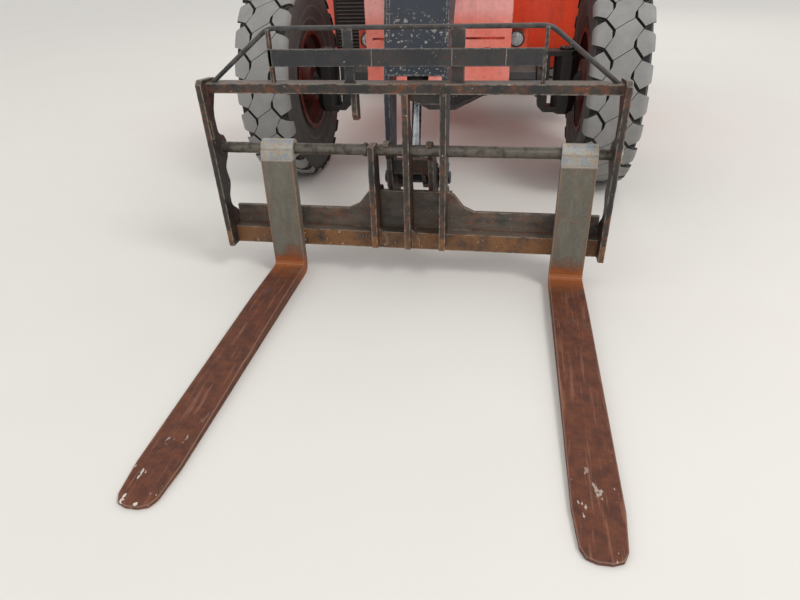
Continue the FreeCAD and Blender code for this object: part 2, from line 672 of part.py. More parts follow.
def cab_seat():
    """Operator's seat on its pedestal."""
    x0, x1 = CAB_INNER_X + CAB_WALL + SEAT_SIDE_ROOM, CAB_OUTER_X - CAB_WALL - SEAT_SIDE_ROOM
    floor_z = CAB_FLOOR_Z + CAB_WALL
    seat_z = floor_z + SEAT_HEIGHT
    y0 = CAB_FRONT_Y + SEAT_FRONT_SET_BACK
    y1 = y0 + 510
    pedestal = block(x0 + 60, x1 - 60, y0 + 100, y1 - 80, floor_z, seat_z)
    cushion = plate_x([(y0, seat_z, -20), (y1, seat_z), (y1, seat_z + 110), (y0, seat_z + 130, 45)], x0, x1)
    top_z = seat_z + 110 + BACKREST_HEIGHT
    backrest = plate_x([(y1 - 80, seat_z + 90), (y1 + 30, seat_z + 110), (y1 + 105, top_z, -30),
                        (y1, top_z, -30)],
                       x0 + 10, x1 - 10)
    return joined([pedestal, cushion, backrest])


def cab_controls():
    """Dash pod, steering column and wheel, and the side console."""
    floor_z = CAB_FLOOR_Z + CAB_WALL
    middle_x = (CAB_INNER_X + CAB_OUTER_X) / 2
    dash = plate_x([(CAB_FRONT_Y + CAB_WALL, floor_z), (CAB_FRONT_Y + 200, floor_z),
                    (CAB_FRONT_Y + 280, floor_z + 520, -30), (CAB_FRONT_Y + 200, floor_z + 600, -30),
                    (CAB_FRONT_Y + 120, floor_z + 560), (CAB_FRONT_Y + CAB_WALL, floor_z + 380)],
                   middle_x - 170, middle_x + 170)
    start = V(middle_x, CAB_FRONT_Y + 220, floor_z + 520)
    end = V(middle_x, CAB_FRONT_Y + 400, floor_z + 720)
    direction = end - start
    direction.normalize()
    column = prism_between(start, end, 28, 6)
    low = end - direction * 11
    high = end + direction * 11
    ring = prism_between(low, high, STEERING_WHEEL_RADIUS, 16).cut(
        prism_between(low - direction, high + direction, STEERING_WHEEL_RADIUS - 25, 16))
    hub = prism_between(low, high, 45, 8)
    across = prism_between(end - V(STEERING_WHEEL_RADIUS - 12, 0, 0), end + V(STEERING_WHEEL_RADIUS - 12, 0, 0),
                           10, 4)
    console_x = CAB_INNER_X + CAB_WALL
    console = plate_x([(1060, floor_z), (1500, floor_z), (1500, floor_z + 520, -20), (1120, floor_z + 560, -30),
                       (1060, floor_z + 460)], console_x, console_x + 95)
    lever = plate_z(flats_round(console_x + 50, 1160, 14, 6), floor_z + 500, floor_z + 680)
    return Part.makeCompound([joined([dash, column, ring, hub, across]), joined([console, lever])])


def mirrors():
    """Arm and head of the cab mirror and of the pod mirror."""
    made = []
    cab_foot = V(CAB_OUTER_X - 40, CAB_FRONT_Y + 75, MIRROR_Z)
    pod_foot = V(POD_OUTER_X + 200, POD_FRONT_Y + 5, POD_TOP_Z - 120)
    cab_form = plate_x(cab_side(), CAB_INNER_X, CAB_OUTER_X)
    for x, z, foot, carrier in ((CAB_OUTER_X - 40, MIRROR_Z, cab_foot, cab_form),
                                (POD_OUTER_X + 40, HOOD_TOP_Z, pod_foot, pod_form())):
        elbow = V(x, CAB_FRONT_Y - 60, z)
        top = V(x, CAB_FRONT_Y - 60, z + 300)
        arm = [prism_between(foot, elbow, 10, 6), prism_between(elbow - V(0, 0, 10), top, 11, 6)]
        head = plate_y([(top.x - 75, z + 120, -20), (top.x + 75, z + 120, -20), (top.x + 75, z + 370, -20),
                        (top.x - 75, z + 370, -20)], CAB_FRONT_Y - 72, CAB_FRONT_Y - 40)
        made.append(joined(arm + [head]).cut(carrier))
    return Part.makeCompound(made)


# Engine pod

def pod_form():
    """The pod's outside as a solid."""
    x0, x1 = POD_OUTER_X, POD_INNER_X
    return plate_z([(x0, POD_FRONT_Y + 150), (x0 + 150, POD_FRONT_Y), (x1, POD_FRONT_Y), (x1, POD_REAR_Y),
                    (x0, POD_REAR_Y, -30)], POD_FLOOR_Z, POD_TOP_Z)


def engine_pod():
    """Open-topped pod on the machine's right, with a grille opening at the rear."""
    x0, x1 = POD_OUTER_X, POD_INNER_X
    outer = pod_form()
    wall = POD_WALL
    inner = plate_z([(x0 + wall, POD_FRONT_Y + 155), (x0 + 155, POD_FRONT_Y + wall),
                     (x1 - wall, POD_FRONT_Y + wall),
                     (x1 - wall, POD_REAR_Y - wall), (x0 + wall, POD_REAR_Y - wall, -20)],
                    POD_FLOOR_Z + wall, POD_TOP_Z + 1)
    grille = block(x0 + 110, x1 - 110, POD_REAR_Y - wall - 1, POD_REAR_Y + 1, 800, 1220)
    slats = [block(x0 + 100, x1 - 100, POD_REAR_Y - wall + 5, POD_REAR_Y - 5, z, z + 12)
             for z in range(850, 1200, 60)]
    hinges = [piece for y in HOOD_HINGE_PLACES for piece in hood_hinge(y)[0]]
    return joined([outer.cut([inner, grille])] + slats + hinges)


def engine_hood():
    """Rounded hood that closes the pod's top, hollow underneath."""
    x0, x1 = POD_OUTER_X, POD_INNER_X
    low = POD_TOP_Z + HOOD_GAP
    wall = 20

    def form(inset):
        """The hood's outside, or its inside when inset by the wall."""
        bottom = low - (1 if inset else 0)
        top = HOOD_TOP_Z - inset
        curve = 90 if inset == 0 else 0
        section = [(x0 + inset, bottom), (x1 - inset, bottom), (x1 - inset, top, -30), (x0 + 130, top, curve),
                   (x0 + inset, low + 150)]
        side_view = [(POD_FRONT_Y + inset, bottom), (POD_REAR_Y - inset, bottom),
                     (POD_REAR_Y - inset, top, -40),
                     (POD_FRONT_Y + 300, top, 2 * curve), (POD_FRONT_Y + inset, low + 120)]
        plan = [(x0 + inset, POD_FRONT_Y + 150 + inset / 2), (x0 + 150 + inset / 2, POD_FRONT_Y + inset),
                (x1 - inset, POD_FRONT_Y + inset), (x1 - inset, POD_REAR_Y - inset),
                (x0 + inset, POD_REAR_Y - inset)]
        block_form = plate_y(section, POD_FRONT_Y - 1, POD_REAR_Y + 1)
        return block_form.common(plate_x(side_view, x0 - 1, x1 + 1)).common(plate_z(plan, bottom, top + 1))

    outer = form(0)
    return joined([outer.cut(form(wall))] + [hood_hinge(y)[1] for y in HOOD_HINGE_PLACES])


def engine_block():
    middle_x = (POD_INNER_X + POD_OUTER_X) / 2
    z0 = POD_FLOOR_Z + POD_WALL
    y0 = POD_FRONT_Y + 350
    return block(middle_x - ENGINE_WIDTH / 2, middle_x + ENGINE_WIDTH / 2, y0, y0 + ENGINE_LENGTH,
                 z0, z0 + ENGINE_HEIGHT)


def exhaust():
    """Upright stack behind the pod, with its elbow into the pod and a cut outlet."""
    x, y = POD_INNER_X - 110, POD_REAR_Y + 80
    stack = plate_z(flats_round(x, y, 42, 12), 960, STACK_TOP_Z)
    shield = plate_z(flats_round(x, y, 52, 12), 1250, STACK_TOP_Z - 200)
    stub = plate_y(flats_round(x, 1010, 36, 8), POD_REAR_Y, y)
    bore = plate_z(flats_round(x, y, 37, 12), STACK_TOP_Z - 150, STACK_TOP_Z + 1)
    return joined([stack, shield, stub]).cut(bore)


# Lamps

def lamps():
    """Round headlamps and boxed tail lamps."""
    made = []
    made += both_sides(plate_y(flats_round(HEADLAMP_X, HEADLAMP_Z, HEADLAMP_RADIUS, 16), HEADLAMP_Y,
                               HEADLAMP_Y + 60))
    w = COUNTERWEIGHT_HALF_WIDTH
    tail = plate_z([(w - 160, REAR_END_Y - 150), (w - 20, REAR_END_Y - 150), (w - 20, REAR_END_Y - 90, -10),
                    (w - 160, REAR_END_Y - 90, -10)], COUNTERWEIGHT_TOP_Z, COUNTERWEIGHT_TOP_Z + 90)
    made += both_sides(tail)
    return Part.makeCompound(made)


def lamp_brackets():
    """Bracket plates beside the front plate that carry the headlamps."""
    x0 = FRONT_PLATE_HALF_WIDTH - 30
    x1 = HEADLAMP_X + 70
    y = HEADLAMP_Y + 60
    face = plate_y([(x0, HEADLAMP_Z - 75), (x1, HEADLAMP_Z - 75, -12), (x1, HEADLAMP_Z + 75),
                    (x0, HEADLAMP_Z + 75)],
                   y, y + 10)
    hood = block(x0, x1, y - 60, y, HEADLAMP_Z + 68, HEADLAMP_Z + 75)
    arm = block(x0 - 150, x0 + 20, y, y + 10, HEADLAMP_Z - 60, HEADLAMP_Z + 60)
    return Part.makeCompound(both_sides(joined([face, hood, arm])))


# Boom

def box_section(width, height, wall, rear, front):
    """A level rectangular tube drawn along the boom, before it is laid on the slope."""
    y0, y1 = BOOM_PIVOT_Y - front, BOOM_PIVOT_Y - rear
    outer = [(-width / 2, BOOM_PIVOT_Z - height / 2, 24), (width / 2, BOOM_PIVOT_Z - height / 2, 24),
             (width / 2, BOOM_PIVOT_Z + height / 2, 24), (-width / 2, BOOM_PIVOT_Z + height / 2, 24)]
    w, h = width - 2 * wall, height - 2 * wall
    inner = [(-w / 2, BOOM_PIVOT_Z - h / 2, -10), (w / 2, BOOM_PIVOT_Z - h / 2, -10),
             (w / 2, BOOM_PIVOT_Z + h / 2, -10), (-w / 2, BOOM_PIVOT_Z + h / 2, -10)]
    return plate_y(outer, y0, y1), plate_y(inner, y0, y1)


def collar_and_pads(width, height, wall, front, inner_width, inner_height):
    """Collar round a section's mouth and the four wear pads inside it."""
    grow = 2 * BOOM_COLLAR
    z = BOOM_PIVOT_Z
    y0 = BOOM_PIVOT_Y - front
    collar_outline = [(across * (width + grow) / 2, z + up * (height + grow) / 2, -24)
                      for across, up in ((-1, -1), (1, -1), (1, 1), (-1, 1))]
    collar = plate_y(collar_outline, y0, y0 + BOOM_COLLAR_LENGTH)
    w, h = width / 2 - wall, height / 2 - wall
    hole = block(-w, w, y0 - 1, y0 + BOOM_COLLAR_LENGTH + 1, z - h, z + h)
    y0 += 10
    y1 = y0 + PAD_LENGTH
    side = inner_width / 2 + PAD_GAP
    top = inner_height / 2 + PAD_GAP
    pads = both_sides(block(side, width / 2 - wall + 1, y0, y1, z - inner_height / 4, z + inner_height / 4))
    pads.append(block(-inner_width / 4, inner_width / 4, y0, y1, z + top, z + height / 2 - wall + 1))
    pads.append(block(-inner_width / 4, inner_width / 4, y0, y1, z - height / 2 + wall - 1, z - top))
    return [collar.cut(hole)] + pads


def lug_pair(y, z, root_y0, root_y1, gap, radius, thickness, above):
    """Two lugs that hang from a surface at height above, with cut corners and a pin head beside (y, z)."""
    lugs = []
    for side in (-1, 1):
        x0, x1 = sorted((side * gap, side * (gap + thickness)))
        lugs.append(plate_x([(root_y0, above), (y - radius, z - radius, -radius * 0.6),
                             (y + radius, z - radius, -radius * 0.6), (root_y1, above)], x0, x1))
        h0, h1 = sorted((side * (gap + thickness), side * (gap + thickness + 12)))
        lugs.append(plate_x(flats_round(y, z, radius * 0.45, 8), h0, h1))
    return lugs


def outer_boom():
    shell, hollow = box_section(OUTER_WIDTH, OUTER_HEIGHT, OUTER_WALL, OUTER_REAR, OUTER_FRONT)
    y_front = BOOM_PIVOT_Y - OUTER_FRONT
    rear_cut = block(-OUTER_WIDTH, OUTER_WIDTH, BOOM_PIVOT_Y + 10, BOOM_PIVOT_Y - OUTER_REAR + 5,
                     BOOM_PIVOT_Z - OUTER_HEIGHT / 2 - 5, BOOM_PIVOT_Z - 90)
    boss_end = FRAME_HALF_GAP - SLIDE_GAP
    boss = prism_x(BOOM_PIVOT_Y, BOOM_PIVOT_Z, BOOM_BOSS_RADIUS, -boss_end, boss_end, 12)
    bore = prism_x(BOOM_PIVOT_Y, BOOM_PIVOT_Z, BOOM_PIN_RADIUS + PIN_GAP, -FRAME_HALF_GAP, FRAME_HALF_GAP, 12)
    pieces = [shell.cut(hollow).cut(rear_cut), boss]
    pieces += collar_and_pads(OUTER_WIDTH, OUTER_HEIGHT, OUTER_WALL, OUTER_FRONT, MID_WIDTH, MID_HEIGHT)
    shape = in_boom(joined(pieces).cut(bore))
    lugs = []
    for y, drop, gap, radius in ((LIFT_TOP_Y, LIFT_LUG_DROP, 50, 70), (LEVEL_TOP_Y, LEVEL_LUG_DROP, 34, 50)):
        z = boom_underside(y) - drop
        lugs += lug_pair(y, z, y - radius - 60, y + radius + 60, gap, radius, LUG_PLATE, boom_underside(y) + 12)
    return joined([shape] + lugs)


def mid_boom():
    shell, hollow = box_section(MID_WIDTH, MID_HEIGHT, 11, MID_REAR, MID_FRONT)
    pieces = [shell.cut(hollow)]
    pads = collar_and_pads(MID_WIDTH, MID_HEIGHT, 11, MID_FRONT, INNER_WIDTH, INNER_HEIGHT)
    return in_boom(joined(pieces + pads))


def nose_outline():
    """Side plates of the gooseneck nose, in (y, z), from the inner section down to the tilt pivot."""
    tip = NOSE_TIP_RADIUS
    return [boom_point(INNER_FRONT - 260, INNER_HEIGHT / 2), (NOSE_TOP_Y, NOSE_TOP_Z, 60),
            (NOSE_CHIN_Y, NOSE_CHIN_Z, 200), (TILT_PIVOT_Y - tip, TILT_PIVOT_Z - tip, -tip * 0.6),
            (TILT_PIVOT_Y + tip, TILT_PIVOT_Z - tip, -tip * 0.6), (TILT_PIVOT_Y + 150, NOSE_CHIN_Z),
            (TILT_PIVOT_Y + 300, 1150, 200),
            boom_point(INNER_FRONT - 160, -INNER_HEIGHT / 2), boom_point(INNER_FRONT - 260, -INNER_HEIGHT / 2)]


def inner_boom():
    """Inner section with the gooseneck nose: two side plates, a front cover, and its pins."""
    shell, hollow = box_section(INNER_WIDTH, INNER_HEIGHT, 10, INNER_REAR, INNER_FRONT)
    tube = in_boom(shell.cut(hollow))
    half = INNER_WIDTH / 2
    plate = plate_x(nose_outline(), half - NOSE_PLATE, half)
    lean = (NOSE_CHIN_Y - NOSE_TOP_Y) / (NOSE_CHIN_Z - NOSE_TOP_Z)
    cover_low = NOSE_CHIN_Z + 60
    front_low = NOSE_TOP_Y + lean * (cover_low - NOSE_TOP_Z)
    cover = plate_x([(front_low, cover_low), (front_low + 14, cover_low), (NOSE_TOP_Y + 12, NOSE_TOP_Z - 45),
                     boom_point(INNER_FRONT - 20, INNER_HEIGHT / 2 - 14),
                     boom_point(INNER_FRONT - 20, INNER_HEIGHT / 2 - 1),
                     (NOSE_TOP_Y - 2, NOSE_TOP_Z - 25)], -half + 1, half - 1)
    pieces = [tube, cover] + both_sides(plate)
    for y, z, radius, head in ((TILT_PIVOT_Y, TILT_PIVOT_Z, TILT_PIN_RADIUS, 18),
                               (TILT_BASE_Y, TILT_BASE_Z, 25, 12)):
        pieces.append(bar_x(y, z, radius, NOSE_PLATE - half, half - NOSE_PLATE))
        pieces += both_sides(prism_x(y, z, radius, half, half + head, 8))
    return joined(pieces)


# Cylinders

def cylinder(base, top, barrel_radius, rod_radius, eye_radius, pin_radius, eye_width, closed_share,
             room):
    """Barrel and rod of a cylinder between two pins, given as (y, z), with room left behind the rod's end."""
    start = V(0, base[0], base[1])
    end = V(0, top[0], top[1])
    direction = end - start
    length = direction.Length
    direction.normalize()
    barrel_end = start + direction * (length * closed_share)
    bottom = start + direction * (eye_radius + 15)
    half = eye_width / 2
    base_eye = plate_x(flats_round(base[0], base[1], eye_radius, 8), -half, half)
    barrel = joined([base_eye, prism_between(start + direction * (eye_radius - 5), barrel_end, barrel_radius,
                                             12)])
    gland = prism_between(barrel_end - direction * 60, barrel_end, barrel_radius + 8, 12)
    bore = prism_between(bottom + direction * 40, barrel_end + direction, rod_radius + PIN_GAP, 10)
    pin_hole = prism_x(base[0], base[1], pin_radius + PIN_GAP, -half - 1, half + 1, 8)
    barrel = joined([barrel, gland]).cut([bore, pin_hole])
    rod_start = bottom + direction * (40 + room)
    rod_eye = plate_x(flats_round(top[0], top[1], eye_radius, 8), -half, half)
    rod = joined([prism_between(rod_start, end, rod_radius, 10), rod_eye])
    return barrel, rod


def tilt_eye():
    """World (y, z) of the coupler's upper pin, where the tilt cylinder pushes."""
    angle = math.radians(TILT_ARM_ANGLE)
    return TILT_PIVOT_Y + TILT_ARM * math.cos(angle), TILT_PIVOT_Z + TILT_ARM * math.sin(angle)


# Coupler, carriage and forks

def coupler():
    """Quick coupler: two side plates on the tilt pin, hooks on the fork shaft, lock pin and cylinder lugs."""
    outer = COUPLER_HALF_WIDTH
    inner = outer - COUPLER_PLATE
    arm_y, arm_z = tilt_eye()
    body = [(TILT_PIVOT_Y + 20, TILT_PIVOT_Z - 50, -25), (TILT_PIVOT_Y + 40, TILT_PIVOT_Z + 45, -30),
            (TILT_PIVOT_Y - 100, TILT_PIVOT_Z + 110), (LOCK_PIN_Y + 20, SHAFT_Z - 30, 60),
            (SHAFT_Y + 20, SHAFT_Z + 45, -20), (SHAFT_Y - 35, SHAFT_Z + 35, -10), (SHAFT_Y - 5, SHAFT_Z - 5),
            (SHAFT_Y + 45, SHAFT_Z - 60), (LOCK_PIN_Y - 32, LOCK_PIN_Z + 40),
            (LOCK_PIN_Y - 32, LOCK_PIN_Z - 30, -20),
            (LOCK_PIN_Y + 60, LOCK_PIN_Z - 50)]
    side = plate_x(body, inner, outer)
    lug_gap = 30
    lug = plate_x([(TILT_PIVOT_Y - 48, TILT_PIVOT_Z - 15), (TILT_PIVOT_Y + 40, TILT_PIVOT_Z + 30),
                   (arm_y + 45, arm_z + 30, -25), (arm_y - 30, arm_z + 40, -25), (arm_y - 45, arm_z - 10)],
                  lug_gap, lug_gap + 20)
    tube = plate_x(flats_round(TILT_PIVOT_Y, TILT_PIVOT_Z, 50, 8), -outer, outer)
    middle = block(-lug_gap, lug_gap, TILT_PIVOT_Y - 60, TILT_PIVOT_Y + 60, TILT_PIVOT_Z - 60,
                   TILT_PIVOT_Z + 60)
    pin_head = plate_x(flats_round(arm_y, arm_z, 20, 8), lug_gap + 20, lug_gap + 30)
    pieces = both_sides(side) + both_sides(lug) + [tube.cut(middle)] + both_sides(pin_head)
    band_y = LOCK_PIN_Y - 12
    pieces.append(block(-outer, outer, band_y, band_y + 30, 490, 560))
    pieces.append(block(-outer, outer, band_y, band_y + 40, LOCK_PIN_Z - 50, LOCK_PIN_Z - 28))
    bores = [prism_x(SHAFT_Y, SHAFT_Z, SHAFT_RADIUS + PIN_GAP, -outer - 1, outer + 1, SHAFT_FLAT_COUNT),
             prism_x(TILT_PIVOT_Y, TILT_PIVOT_Z, TILT_PIN_RADIUS + PIN_GAP, -outer - 1, outer + 1, 12)]
    shape = joined(pieces).cut(bores)
    lock_pin = plate_x(flats_round(LOCK_PIN_Y, LOCK_PIN_Z, LOCK_PIN_RADIUS, 8), -outer - 85, outer + 85)
    return joined([shape, lock_pin])


def side_plate_outline():
    """Carriage end plate in (y, z): a leaning front edge and a back edge with bays and a shaft lobe."""
    f = FORK_FACE_Y
    low = BAR_TOP_Z - BAR_HEIGHT
    return [(f - 12, low), (f + 51 + BAR_DEPTH, low), (f + 51 + BAR_DEPTH, BAR_TOP_Z + 5),
            (f + 105, 300), (f + 40, 350, 30), (f + 40, 400), (f + 72, 455, 25), (f + 45, 540, 40),
            (f + 100, 590, -20), (f + 100, 675, -20), (f + 30, 705, 30), (f + 20, 800, 60),
            (f + 60, 880), (f + 84, 890), (f + 84, 945), (f - 60, 955, -20)]


def carriage_rib(x, top_z, reach, feet):
    """One of the upright ribs at x: shaft bore, foot over the bottom bar, optional rear lobe."""
    f = FORK_FACE_Y
    back = f + 128
    points = [(f - 10, RIB_BOTTOM_Z), (BAR_FRONT_Y, RIB_BOTTOM_Z), (BAR_FRONT_Y, BAR_TOP_Z), (back, BAR_TOP_Z),
              (back, BACK_PLATE_PEAK_Z - 10), (f + 105, BACK_PLATE_PEAK_Z + 60, 40)]
    if top_z > SHAFT_Z + 100:
        points += [(f + 100, 700, 30), (f + 62, 760, 40), (f + 62, top_z), (f - 10, top_z)]
    else:
        points += [(f + 100, top_z, 30), (f - 10, top_z)]
    shape = plate_x(points, x - RIB_THICKNESS / 2, x + RIB_THICKNESS / 2)
    if reach:
        tip = LOCK_PIN_Y + 35
        lobe = plate_x([(back - 20, LOCK_PIN_Z - 60), (tip, LOCK_PIN_Z - 35, -20), (tip, LOCK_PIN_Z + 35, -20),
                        (back - 20, LOCK_PIN_Z + 60)], x - RIB_THICKNESS / 2, x + RIB_THICKNESS / 2)
        shape = shape.fuse(lobe)
    if feet:
        foot = plate_y([(x + RIB_THICKNESS / 2 - 1, RIB_BOTTOM_Z), (x + 55, RIB_BOTTOM_Z), (x + 50, 215, -10),
                        (x + RIB_THICKNESS / 2 - 1, 250)], BAR_FRONT_Y - 12, BAR_FRONT_Y)
        shape = shape.fuse(foot)
    return shape


# Ribs of the carriage: x, top height, rear lobe, foot plate
RIBS = ((-160, SHAFT_Z + 30, True, True), (0, RAIL_TOP_Z - RAIL_HEIGHT, False, True),
        (165, RAIL_TOP_Z - RAIL_HEIGHT, True, False))


def carriage():
    """Welded fork carriage: end plates, top rail, bottom bar, back plate and three ribs."""
    f = FORK_FACE_Y
    end_x = RAIL_END_X
    plate = plate_x(side_plate_outline(), end_x, CARRIAGE_HALF_WIDTH)
    slot = plate_x([(f - 38, 693), (f - 18, 693), (f - 26, 775), (f - 46, 775)],
                   end_x - 1, CARRIAGE_HALF_WIDTH + 1)
    pieces = both_sides(plate.cut(slot))
    pieces.append(block(-end_x, end_x, RAIL_FRONT_Y, RAIL_FRONT_Y + RAIL_DEPTH, RAIL_TOP_Z - RAIL_HEIGHT,
                        RAIL_TOP_Z))
    pieces.append(block(-end_x, end_x, BAR_FRONT_Y, BAR_FRONT_Y + BAR_DEPTH, BAR_TOP_Z - BAR_HEIGHT, BAR_TOP_Z))
    peak = 180
    pieces.append(plate_y([(-end_x, BAR_TOP_Z - 5), (end_x, BAR_TOP_Z - 5), (end_x, BACK_PLATE_TOP_Z),
                           (peak + 95, BACK_PLATE_TOP_Z, 65), (peak + 20, BACK_PLATE_PEAK_Z, -15),
                           (-peak - 20, BACK_PLATE_PEAK_Z, -15), (-peak - 95, BACK_PLATE_TOP_Z, 65),
                           (-end_x, BACK_PLATE_TOP_Z)], f + 128 - BACK_PLATE, f + 128))
    pieces += [carriage_rib(*row) for row in RIBS]
    hanger = plate_y([(0, RAIL_TOP_Z - RAIL_HEIGHT), (0, 868), (60, 845, 25), (151, 845),
                      (151, RAIL_TOP_Z - RAIL_HEIGHT)],
                     f + 20, f + 32)
    pieces.append(hanger)
    bracket = plate_x([(f + 20, RAIL_TOP_Z - RAIL_HEIGHT), (f + 20, 800), (f + 40, 770), (f + 80, 770),
                       (f + 80, RAIL_TOP_Z - RAIL_HEIGHT)], -240, -215)
    pieces.append(bracket)
    shape = joined(pieces)
    hole_end = CARRIAGE_HALF_WIDTH + 1
    shaft_hole = prism_x(SHAFT_Y, SHAFT_Z, SHAFT_RADIUS + PIN_GAP, -hole_end, hole_end, SHAFT_FLAT_COUNT)
    lock_hole = plate_x(flats_round(LOCK_PIN_Y, LOCK_PIN_Z, LOCK_PIN_RADIUS + PIN_GAP, 8), -200, 200)
    return shape.cut([shaft_hole, lock_hole])


def fork_shaft():
    """Round shaft that the forks hang on, with end nuts and a collar."""
    reach = CARRIAGE_HALF_WIDTH + PIN_GAP
    shaft = prism_x(SHAFT_Y, SHAFT_Z, SHAFT_RADIUS, -reach - 24, reach + 24, SHAFT_FLAT_COUNT)
    nuts = both_sides(plate_x(flats_round(SHAFT_Y, SHAFT_Z, 36, 6), reach, reach + 18))
    collar = plate_x(flats_round(SHAFT_Y, SHAFT_Z, 31, 12), -205, -187)
    return joined([shaft, collar] + nuts)


def backrest():
    """Load backrest: square top bar with sloping ends, uprights, flat bar and gussets."""
    y = FORK_FACE_Y + 30
    w = BACKREST_HALF_WIDTH
    half = BACKREST_BAR / 2
    top = BACKREST_TOP_Z
    end = RAIL_END_X - 4
    lean = BACKREST_BAR * 1.3
    arch = plate_y([(-end, RAIL_TOP_Z), (-end + lean, RAIL_TOP_Z), (-w + half, top - BACKREST_BAR),
                    (w - half, top - BACKREST_BAR), (end - lean, RAIL_TOP_Z), (end, RAIL_TOP_Z), (w, top),
                    (-w, top)],
                   y - half, y + half)
    pieces = [arch] + both_sides(block(w - 28, w, y - 12, y + 12, RAIL_TOP_Z, top - 5))
    for x in (-240, 215):
        pieces.append(block(x - 15, x + 15, y - 12, y + 8, RAIL_TOP_Z, top - 5))
        pieces.append(plate_x([(y + 5, RAIL_TOP_Z), (y + 50, RAIL_TOP_Z), (y + 5, RAIL_TOP_Z + 130)], x - 6,
                              x + 6))
    pieces.append(block(-w, w, y - 24, y - 12, 1000, 1070))
    return joined(pieces)


def fork(x):
    """One fork: tapered blade with a chamfered tip, heel, shank, neck and shaft eye."""
    f = FORK_FACE_Y
    t = FORK_THICKNESS
    half = FORK_WIDTH / 2
    side = [(f - FORK_LENGTH, 0), (f + t, 0, FORK_HEEL_RADIUS), (f + t, SHAFT_Z), (f + 8, SHAFT_Z),
            (f + 8, FORK_SHOULDER_Z), (f, FORK_SHOULDER_Z), (f, t, 18), (f - 330, t),
            (f - FORK_LENGTH, FORK_TIP_THICKNESS)]
    body = plate_x(side, x - half, x + half)
    tip = FORK_TIP_WIDTH / 2
    plan = plate_z([(x - half, f + t + 60), (x - half, f - FORK_LENGTH + 170), (x - tip, f - FORK_LENGTH, 45),
                    (x + tip, f - FORK_LENGTH, 45), (x + half, f - FORK_LENGTH + 170), (x + half, f + t + 60)],
                   -1, SHAFT_Z + 1)
    eye = prism_x(SHAFT_Y, SHAFT_Z, FORK_EYE_RADIUS, x - half, x + half, SHAFT_FLAT_COUNT)
    bore = prism_x(SHAFT_Y, SHAFT_Z, SHAFT_RADIUS + PIN_GAP, x - half - 1, x + half + 1, SHAFT_FLAT_COUNT)
    return joined([body.common(plan), eye]).cut(bore)


def main():
    os.makedirs("parts", exist_ok=True)
    corners = {"front_left": (1, FRONT_AXLE_Y), "front_right": (-1, FRONT_AXLE_Y),
               "rear_left": (1, REAR_AXLE_Y), "rear_right": (-1, REAR_AXLE_Y)}
    tyre_shape = tyre()
    rim_shape = rim()
    for name, (side, y) in corners.items():
        wheel_centre = V(side * WHEEL_X, y, AXLE_Z)
        save("tyre_" + name, tyre_shape.translated(wheel_centre))
        facing = rim_shape if side > 0 else rim_shape.mirror(V(0, 0, 0), V(1, 0, 0))
        save("rim_" + name, facing.translated(wheel_centre))
        save("knuckle_" + name, knuckle(side, y))
    save("front_axle", axle(FRONT_AXLE_Y))
    save("rear_axle", axle(REAR_AXLE_Y))
    save("chassis_frame", chassis_frame())
    save("front_plate", front_plate())
    save("lamp_brackets", lamp_brackets())
    save("lamps", lamps())
    save("counterweight", counterweight())
    save("fuel_tank", fuel_tank())
    save("cab_step", cab_step())
    save("cab_shell", cab_shell())
    save("cab_glass", cab_glass())
    door, door_pane = cab_door()
    save("cab_door", door)
    save("door_glass", door_pane)
    save("cab_seat", cab_seat())
    save("cab_controls", cab_controls())
    save("mirrors", mirrors())
    save("engine_pod", engine_pod())
    save("engine_hood", engine_hood())
    save("engine_block", engine_block())
    save("exhaust", exhaust())
    save("outer_boom", outer_boom())
    save("mid_boom", mid_boom())
    save("inner_boom", inner_boom())
    lift_top = (LIFT_TOP_Y, boom_underside(LIFT_TOP_Y) - LIFT_LUG_DROP)
    level_top = (LEVEL_TOP_Y, boom_underside(LEVEL_TOP_Y) - LEVEL_LUG_DROP)
    # Cylinders: name, base pin, rod pin, radii of barrel, rod, eye and pin, eye width, barrel's share, room
    cylinders = (
        ("lift", (LIFT_BASE_Y, LIFT_BASE_Z), lift_top, 80, 50, 65, 35, 90, 0.93, 20),
        ("level", (LEVEL_BASE_Y, LEVEL_BASE_Z), level_top, 50, 30, 45, 25, 58, 0.9, 20),
        ("tilt", (TILT_BASE_Y, TILT_BASE_Z), tilt_eye(), 45, 23, 38, 25, 50, 0.62, 60),
    )
    for name, base, top, *sizes in cylinders:
        barrel, rod = cylinder(base, top, *sizes)
        save(name + "_barrel", barrel)
        save(name + "_rod", rod)
    save("coupler", coupler())
    save("carriage", carriage())
    save("fork_shaft", fork_shaft())
    save("backrest", backrest())
    save("fork_left", fork(FORK_LEFT_X))
    save("fork_right", fork(FORK_RIGHT_X))


main()
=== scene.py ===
import json
import math

import bmesh
import bpy
from mathutils import Matrix, Vector

